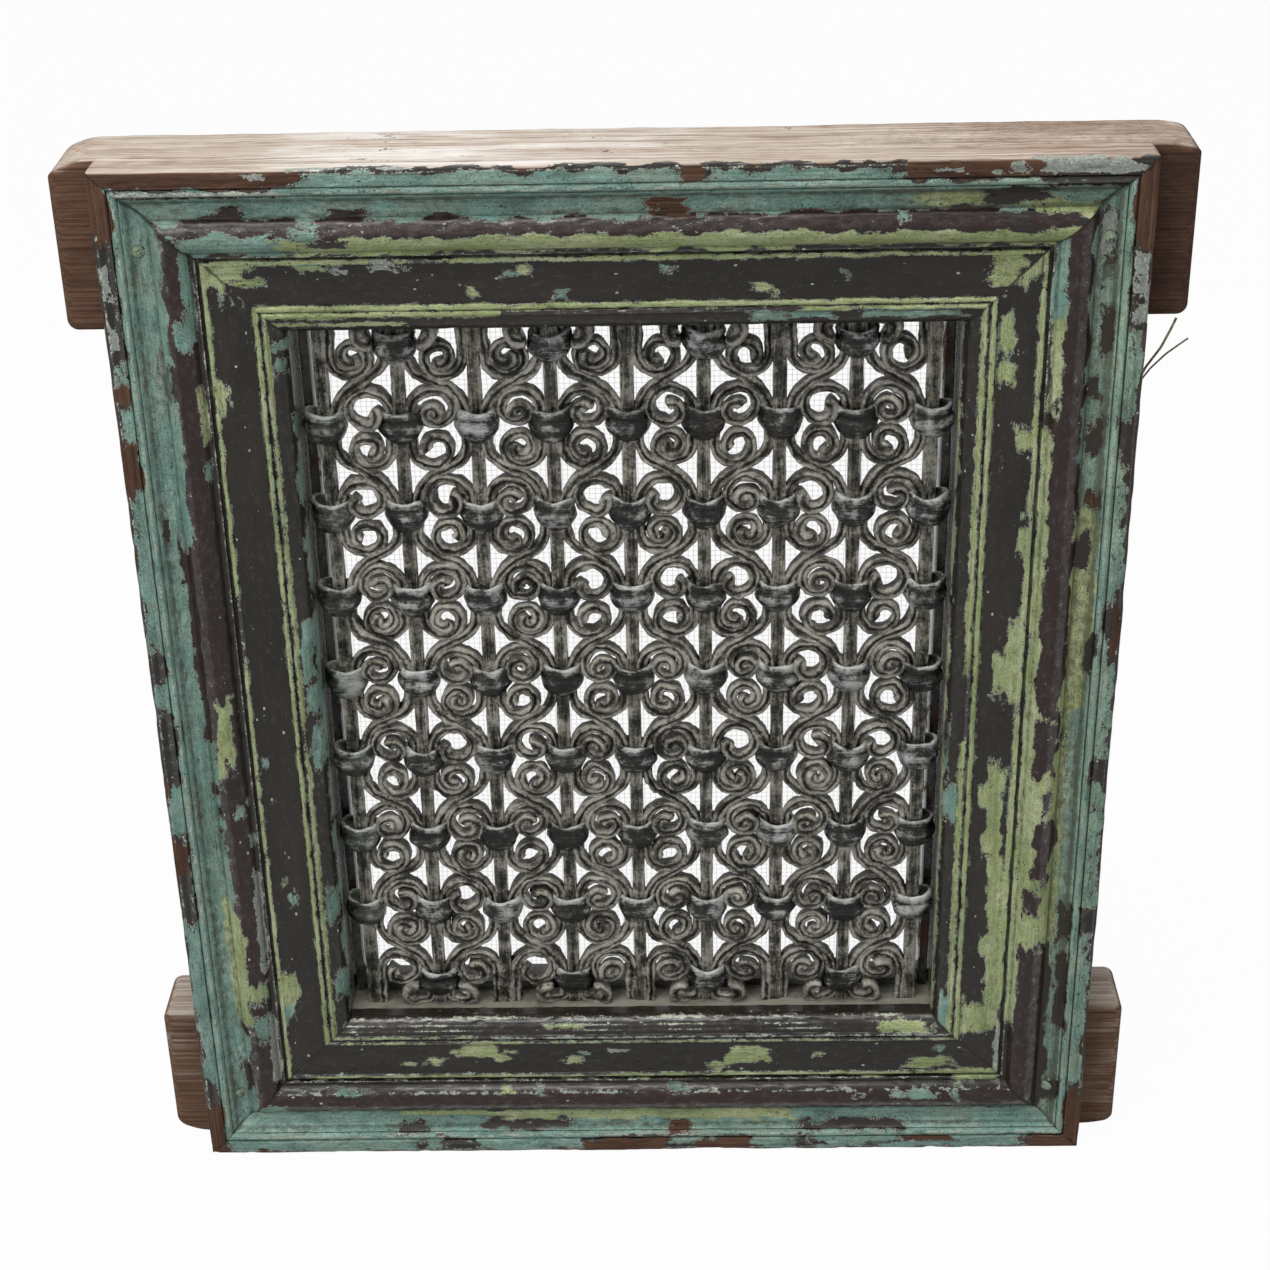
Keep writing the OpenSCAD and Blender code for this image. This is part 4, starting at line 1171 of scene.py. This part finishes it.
def strap(way, centre_x, centre_z, seed, thin=(True, True), push=(0.0, 0.0), green=0.0, swell=0.0):
    """Sweeps the section along a way in x and z. At each station the left-hand normal of the way carries
    the section's thickness, and Y carries its depth. Towards a tip that is thinned out the strap swells by
    the given share over 30 mm and a knob grows, then it closes over 2.6 mm. The two pushes bring the ends
    forward."""
    t, total, (x, z), (ahead_x, ahead_z) = stations(way)
    along = np.stack((t, np.full_like(t, seed * 53.0), np.zeros_like(t)), -1)
    from_start, from_end = t, total - t
    thinness, closing = np.ones_like(t), np.ones_like(t)
    for left, on in zip((from_start, from_end), thin):
        if on:
            thinness *= 1 + 0.22 * (1 - ease(left, 2, 10)) + swell * (1 - ease(left, 14, 30))
            closing *= np.sqrt(1 - (1 - (left / 2.6).clip(0.02, 1)) ** 2)
    uneven = 1.07 + 0.11 * ripple(along, 12.0, 70) + 0.09 * ripple(along, 47.0, 71)
    wide = 1 + 0.09 * ripple(along, 19.0, 72)
    sway = 0.9 * ripple(along, 38.0, 73)
    forward = 1.1 * ripple(along, 50.0, 74)
    forward -= push[0] * (1 - ease(from_start, 4, 34)) + push[1] * (1 - ease(from_end, 4, 34))
    lean = 0.22 * ripple(along, 45.0, 75)
    groove = (0.6 + 0.9 * ripple(along, 18.0, 78)).clip(-0.3, 1.6)[:, None]
    n, depth = SECTION[:, 0][None], SECTION[:, 1][None] - GROOVE * (1 - groove)
    thick = n * (thinness * closing * uneven)[:, None] + depth * lean[:, None] + sway[:, None]
    deep = depth * (thinness * (0.3 + 0.7 * closing) * wide)[:, None] + forward[:, None]
    px = centre_x + x[:, None] - ahead_z[:, None] * thick
    pz = centre_z + z[:, None] + ahead_x[:, None] * thick
    place = np.stack((px, GRILLE_Y + deep, pz), -1)
    dents = 0.42 * ripple(place, 5.0, 76) + 0.6 * ripple(place, 11.0, 79)
    place += dents[..., None] * closing[:, None, None] * (0.6, 1.0, 0.8)
    relief_and_light = np.broadcast_to(SECTION_RELIEF_AND_LIGHT, px.shape)
    tint = 0.3 + 0.35 * ripple(along, 70.0, 77)[:, None] + 0 * px
    lay = np.stack((t[:, None] + seed * 61.0 + 0 * px, n + 0 * px, SECTION[:, 1] + seed * 7.0 + 0 * px), -1)
    return shell(place, work=np.stack((relief_and_light, tint, green + 0 * px), -1), lay=lay * MM)


def serpentine(g):
    """The strap that weaves between bar g and the next one, its end curls swollen and standing forward."""
    green = 0.35 if g in (1, BARS - 1) else 0.0
    return strap(weave_way(g), BAR_CENTRES[g - 1].x, 0, g * 13, push=(3.5, 3.0), green=green, swell=0.6)


def scrolls(b):
    """The scrolls beside one bar, at every other row. Each is longer, turned and pushed forward its own
    way. The half scrolls of the end rows come out of the timber, so only their far end is thinned and
    pushed."""
    made = []
    green = 0.35 if b in (1, BARS) else 0.0
    for r in range(ROWS):
        for side in (-1, 1):
            if (b + r) % 2 and 1 <= b + side <= BARS:
                seed = b * 40 + r * 4 + side
                way = scroll_way(b, r, side) * (side, 1)
                whole = 0 < r < ROWS - 1
                push = 2.0 + 3.0 * np.array((hand(b, r, side + 5), hand(b, r, side + 8)))
                push = push * (whole, 1)
                centre_x = BAR_CENTRES[b - 1].x
                made.append(strap(way, centre_x, row_z(r), seed, (whole, True), push, green, 0.12))
    return made


for g in range(1, BARS):
    piece(f"serpentine_{g}", [serpentine(g)], FORGED, [f"serpentine_{g}"], 50)
scroll_count = 0
for b in range(1, BARS + 1):
    beside = scrolls(b)
    scroll_count += len(beside)
    piece(f"scrolls_{b}", beside, FORGED, [f"scrolls_{b}"], 50)
print("Serpentine straps:", BARS - 1, "scrolls:", scroll_count)

# %% [markdown]
# ## Collars like little bowls
#
# Each crossing is held by a half-moon of metal, open at the top with an ear at each side and a thick lip,
# and round below. It could be a sphere cut by planes, as in the construction. Here its wall is one closed
# surface from the hollow over the lip and down round the bowl, so the lip, a second ridge and the dents are
# all shaped.


# %% Collars
FALL = np.array((0.0, 0.02, 0.06, 0.11, 0.17, 0.235, 0.3, 0.36, 0.43, 0.5, 0.58, 0.66, 0.75, 0.84, 0.93, 1.0))
LIPPED = np.array((-0.6, 0.2, 0.6, 0.7, 0.5, -0.1, -0.2, 0.5, 1.1, 1.3, 1.2, 0.9, 0.6, 0.2, -0.2, -0.9)) * 1.7
PLAIN = np.array((-0.3, 0.1, 0.3, 0.5, 0.7, 0.9, 1.0, 1.1, 1.1, 1.0, 0.8, 0.5, 0.3, 0.1, -0.2, -0.9))
# Values of the bowl from lip to foot: a painted highlight along the lip, painted shade in the creases and
# under the foot.
BOWL_RUB_AND_LIGHT = np.array((0.6, 0.9, 0.5, 0.3, 0.0, -0.8, -0.9, -0.3, 0.3, 0.5, 0.1, -0.4, 0.1, 0.0, -0.3, -0.7))
HOLLOW_SHARES = np.array((0.08, 0.5, 0.72, 0.83, 0.89)) * 0.95
HOLLOW_SINK = np.array((9.0, 8.2, 6.4, 3.0, 0.4))
# Values inside the hollow: painted shade deep inside, a painted highlight at its rim.
HOLLOW_RUB_AND_LIGHT = np.array((-0.8, -0.8, -0.5, 0.0, 0.7))


def slot_radius(t):
    """Radius at angle t of a slot of 32 by 20 mm: two half circles joined by straights."""
    half, end = (COLLAR_W - COLLAR_D) / 2, COLLAR_D / 2
    cos, sin = np.abs(np.cos(t)), np.abs(np.sin(t))
    round_end = half * cos + np.sqrt(np.maximum(end ** 2 - (half * sin) ** 2, 0))
    return np.where(sin * half < cos * end, round_end, end / np.maximum(sin, 0.05))


def collar(b, r):
    """A closed bowl. Angle t runs round it, and rings run from the hollow's middle over the lip to the
    foot. Its plan is a slot, which shrinks as a superellipse towards the foot and bulges between a plain
    and a lipped outline. The lip drops in front and behind by the sine of the angle squared, which leaves
    the ears high."""
    seed = b * 16 + r
    random = np.random.default_rng(seed)
    t = np.linspace(0, 2 * np.pi, 44, endpoint=False)
    cos, sin = np.cos(t), np.sin(t)
    plan = slot_radius(t) + 0.7 * sin ** 2
    drop = (2.4 + 2.4 * random.random()) * sin ** 2
    top = COLLAR_H / 2 + 10.0 - 11.0 * (r == 0) + random.normal(0, 0.5) - drop
    foot = -COLLAR_H / 2 - 2.2 - 8.0 * (r == 0)
    creased = random.uniform(0.4, 1.0)
    bulge = creased * LIPPED + (1 - creased) * PLAIN
    bowl = (1 - (0.97 * FALL) ** 3.4) ** 0.48 * (1 - 0.07 * (1 - FALL / 0.4).clip(0, 1) ** 1.6) * 1.03
    radius = np.concatenate((plan * HOLLOW_SHARES[:, None], (plan + bulge[:, None]) * bowl[:, None]))
    height = np.concatenate((top - HOLLOW_SINK[:, None], top + (foot - top) * FALL[:, None]))
    # The lip's painted highlight is always strong; lower down the values follow the creases.
    ridge = BOWL_RUB_AND_LIGHT * np.where(FALL < 0.1, 1.4, creased)
    relief_and_light = np.concatenate((HOLLOW_RUB_AND_LIGHT, ridge))[:, None] + 0 * radius
    place = np.stack((radius * cos, radius * sin, height), -1)
    spot = place + (seed * 71.0, 0, 0)
    place[..., :2] *= 1 + 0.05 * ripple(spot, 14.0, 80)[..., None] + 0.015 * ripple(spot, 4.5, 81)[..., None]
    place[..., 2] += 0.6 * ripple(spot, 14.0, 82)
    lean = random.normal(0, 0.035, 2)
    place[..., 2] += place[..., 0] * lean[0] + place[..., 1] * lean[1]
    place += (BAR_CENTRES[b - 1].x + random.normal(0, 0.3), GRILLE_Y + random.normal(0, 0.3), row_z(r))
    green = {1: 0.6, 2: 0.3}.get(b, 0.12)
    tint = np.full(radius.shape, random.uniform(-0.4, 0.5))
    work = np.stack((relief_and_light, tint, green + 0 * tint), -1)
    return shell(place, work=work, lay=(place[..., (0, 2, 1)] + (0, seed * 9.0, 0)) * MM)


def collar_rows(b):
    """Every row but the first and the last, which only every other bar has."""
    return [r for r in range(ROWS) if 0 < r < ROWS - 1 or b % 2 == 0]


for b in range(1, BARS + 1):
    bowls = [collar(b, r) for r in collar_rows(b)]
    piece(f"collars_{b}", bowls, COLLAR, [f"collars_{b}"], 60)
print("Collars:", sum(len(collar_rows(b)) for b in range(1, BARS + 1)))

# %% [markdown]
# ## The fly screen and its tacks
#
# Behind the grille a fine wire mesh keeps insects out. The construction has a coarse net for its strength.
# The real pitch is about 4.3 mm, so here the screen is two layers of thin wires, each wire a closed
# four-sided tube that wanders a little. Tacks with hammered heads hold it in its rebate.

# %% Wires and tacks
GALVANISED = Finish("screen_wire")
wire_place = GALVANISED.node("ShaderNodeTexCoord", out="Object")
wire_grey = GALVANISED.noise(wire_place, (160.0, 160.0, 160.0), 4.0)
wire_patch = GALVANISED.noise(wire_place, (9.0, 9.0, 9.0), 3.0)
wire_colour = GALVANISED.ramp(wire_grey * 0.5 + wire_patch * 0.5, (0.35, hue("cfcec8")), (0.6, hue("f2f1ec")))
wire_rough = 0.5 + wire_grey * 0.3
GALVANISED.finished(wire_colour, wire_rough, GALVANISED.bump(wire_grey, 0.1), metal=0.4)


def wire(start, end, radius, seed):
    """A straight four-sided tube from start to end, whose 14 rings wander by a fraction of a millimetre."""
    t = np.linspace(0, 1, 14)[:, None]
    middle = np.array(start) + (np.array(end) - start) * t
    spot = middle + (0, seed * 37.0, 0)
    across = np.array((1.0, 0, 0)) if start[0] == end[0] else np.array((0, 0, 1.0))
    middle = middle + across * 0.35 * ripple(spot, 160.0, 90)[:, None]
    turn = np.linspace(0, 2 * np.pi, 4, endpoint=False)[None, :, None]
    return shell(middle[:, None] + radius * (np.cos(turn) * across + np.sin(turn) * np.array((0, 1.0, 0))))


screen_low, screen_high = (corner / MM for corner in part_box("fly_screen"))
screen_y = (screen_low.y + screen_high.y) / 2
xs = np.linspace(screen_low.x + 0.5, screen_high.x - 0.5, 122)
zs = np.linspace(screen_low.z + 0.5, screen_high.z - 0.5, 152)
uprights = [wire((x, screen_y - 0.12, screen_low.z), (x, screen_y - 0.12, screen_high.z), 0.11, k)
            for k, x in enumerate(xs)]
levels = [wire((screen_low.x, screen_y + 0.12, z), (screen_high.x, screen_y + 0.12, z), 0.11, k + 500)
          for k, z in enumerate(zs)]
piece("fly_screen", uprights + levels, GALVANISED.material, ["fly_screen"])

tack_w, tack_h = OPENING_W + 12, OPENING_H + 12
across, updown = int(np.ceil(tack_w / 110)), int(np.ceil(tack_h / 110))
tack_at = [(tack_w * (i / across - 0.5), s * tack_h / 2) for i in range(across + 1) for s in (-1, 1)]
tack_at += [(s * tack_w / 2, tack_h * (i / updown - 0.5)) for i in range(1, updown) for s in (-1, 1)]


def tack(x, z, seed):
    """A tack along Y: its radius over its depth, from the point to the domed head, uneven as a hammer
    leaves it."""
    depth = np.array((80.5, 84, 89.9, 90.0, 90.2, 90.7, 91.0, 91.15))[:, None]
    radius = np.array((0.15, 0.85, 0.9, 3.3, 3.45, 2.8, 1.7, 0.3))[:, None]
    turn = np.linspace(0, 2 * np.pi, 18, endpoint=False)
    uneven = 1 + 0.05 * np.sin(2 * turn + seed) + 0.03 * np.sin(5 * turn + 2 * seed)
    place = np.stack((x + radius * uneven * np.cos(turn), FRONT_Y + depth + 0 * turn,
                      FACE_H / 2 + z + radius * uneven * np.sin(turn)), -1)
    blank = np.zeros(place.shape[:2])
    return shell(place, work=np.stack((blank, blank + 0.1 * np.sin(seed), blank), -1), lay=place * MM)


TACKS = iron_finish("tack_iron", hue("2c2420"), hue("574a40"), hue("867a6c"), 0.6)
tacks = [tack(x, z, k) for k, (x, z) in enumerate(tack_at)]
piece("screen_tacks", tacks, TACKS, ["screen_tacks"])
print("Wires:", len(uprights) + len(levels), "tacks:", len(tack_at))

# %% [markdown]
# ## Ends of tie wire
#
# A turn of thin wire is still caught at the edge of the right stile, and its two ends stand out to the
# side. They belong to the looks only. They are bent through a few given places, as the real ends were.


# %% Tie wire
def bent_wire(corners, radius):
    """A round wire of eight sides through a few corners. Rings follow the corners' smoothed line."""
    corners = np.array(corners, float)
    gone = np.concatenate(([0], np.cumsum(np.linalg.norm(np.diff(corners, axis=0), axis=1))))
    t = np.linspace(0, gone[-1], 30)
    middle = np.stack([np.interp(t, gone, corners[:, k]) for k in range(3)], -1)
    middle[1:-1] = (middle[:-2] + 2 * middle[1:-1] + middle[2:]) / 4
    ahead = np.gradient(middle, axis=0)
    ahead /= np.linalg.norm(ahead, axis=1, keepdims=True)
    first = np.cross(ahead, (0.0, 1.0, 0.0))
    first /= np.linalg.norm(first, axis=1, keepdims=True)
    second = np.cross(ahead, first)
    turn = np.linspace(0, 2 * np.pi, 8, endpoint=False)[None, :, None]
    rings = middle[:, None] + radius * (np.cos(turn) * first[:, None] + np.sin(turn) * second[:, None])
    blank = np.zeros(rings.shape[:2])
    return shell(rings, work=np.stack((blank, blank + 0.5, blank), -1), lay=rings[..., (2, 0, 1)] * MM)


WIRE = iron_finish("tie_wire", hue("39342a"), hue("6d6552"), hue("a1987d"), 0.55)
upper_end = [(380.2, -22, 707), (386, -23, 723), (396, -25, 740), (402, -26, 755), (405, -26, 763)]
lower_end = [(380.2, -20, 706), (390, -22, 722), (400, -24, 734), (408, -25, 741), (415, -26, 747)]
ends = [bent_wire(upper_end, 1.0), bent_wire(lower_end, 0.75)]
piece("tie_wire", ends, WIRE, [])
print("Tie wire ends:", len(ends))

# %% [markdown]
# ## Floor and light
#
# The picture is cut out on white, and the light in it is soft and comes from above and in front. Anything
# grey behind the object would spoil the match, so the floor gives white light to whatever looks at it and
# takes a faint shadow. The sky is white to the eye and dimmer as a lamp.

# %% Floor, sky and lamps
def looked_at(tree):
    """1 for a ray from the camera, from a shiny face or through a clear one, and 0 for one that gathers
    light."""
    rays = tree.nodes.new("ShaderNodeLightPath").outputs
    seen = rays["Is Camera Ray"]
    for kind in ("Is Glossy Ray", "Is Transmission Ray"):
        either = tree.nodes.new("ShaderNodeMath")
        either.operation = "MAXIMUM"
        tree.links.new(seen, either.inputs[0])
        tree.links.new(rays[kind], either.inputs[1])
        seen = either.outputs[0]
    return seen


backdrop = Finish("backdrop")
seen = Value(backdrop, looked_at(backdrop.tree))
backdrop.feed(backdrop.shader.inputs["Base Color"], (0.4, 0.4, 0.4, 1.0))
backdrop.feed(backdrop.shader.inputs["Roughness"], 0.9)
glow = backdrop.node("ShaderNodeEmission", sockets={"Color": (1.0, 1.0, 1.0, 1.0), "Strength": 1.0})
plain = Value(backdrop, backdrop.shader.outputs[0])
both = backdrop.node("ShaderNodeMixShader", sockets={0: seen * 0.97, 1: plain, 2: glow})
backdrop.feed(backdrop.result.inputs["Surface"], both)

floor_mesh = bpy.data.meshes.new("floor")
floor_mesh.from_pydata([(-20, -8, 0), (20, -8, 0), (20, 32, 0), (-20, 32, 0)], [], [(0, 1, 2, 3)])
floor_mesh.materials.append(backdrop.material)
floor = bpy.data.objects.new("floor", floor_mesh)
bpy.context.scene.collection.objects.link(floor)
floor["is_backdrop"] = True

world = bpy.data.worlds.new("sky")
bpy.context.scene.world = world
world.use_nodes = True
sky = world.node_tree
strength = sky.nodes.new("ShaderNodeMapRange")
strength.inputs["To Min"].default_value = 0.47
strength.inputs["To Max"].default_value = 1.0
sky.links.new(looked_at(sky), strength.inputs["Value"])
sky.nodes["Background"].inputs["Color"].default_value = (1.0, 1.0, 1.0, 1.0)
sky.links.new(strength.outputs[0], sky.nodes["Background"].inputs["Strength"])
bpy.context.scene.view_settings.view_transform = "Standard"


def lamp(name, place, aim, size, power, colour=(1.0, 1.0, 1.0)):
    """A square soft lamp at a place, turned towards an aim."""
    light = bpy.data.objects.new(name, bpy.data.lights.new(name, "AREA"))
    light.data.size = size
    light.data.energy = power
    light.data.color = colour
    light.location = place
    light.rotation_euler = (Vector(aim) - Vector(place)).to_track_quat("-Z", "Y").to_euler()
    bpy.context.scene.collection.objects.link(light)
    light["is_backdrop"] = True


lamp("overhead", (-0.3, -0.6, 3.2), (0, 0, 0.45), 1.3, 62, (1.0, 0.98, 0.95))
lamp("window", (-1.7, -2.6, 2.6), (0, 0, 0.45), 1.2, 42, (0.94, 0.97, 1.0))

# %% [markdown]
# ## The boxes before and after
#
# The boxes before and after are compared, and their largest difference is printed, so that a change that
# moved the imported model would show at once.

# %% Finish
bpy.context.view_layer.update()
shifts = np.abs(np.array(CAD_BOX) - np.array(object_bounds()))
print("Largest difference between the two boxes:", (shifts.max() / MM).round(2), "mm")
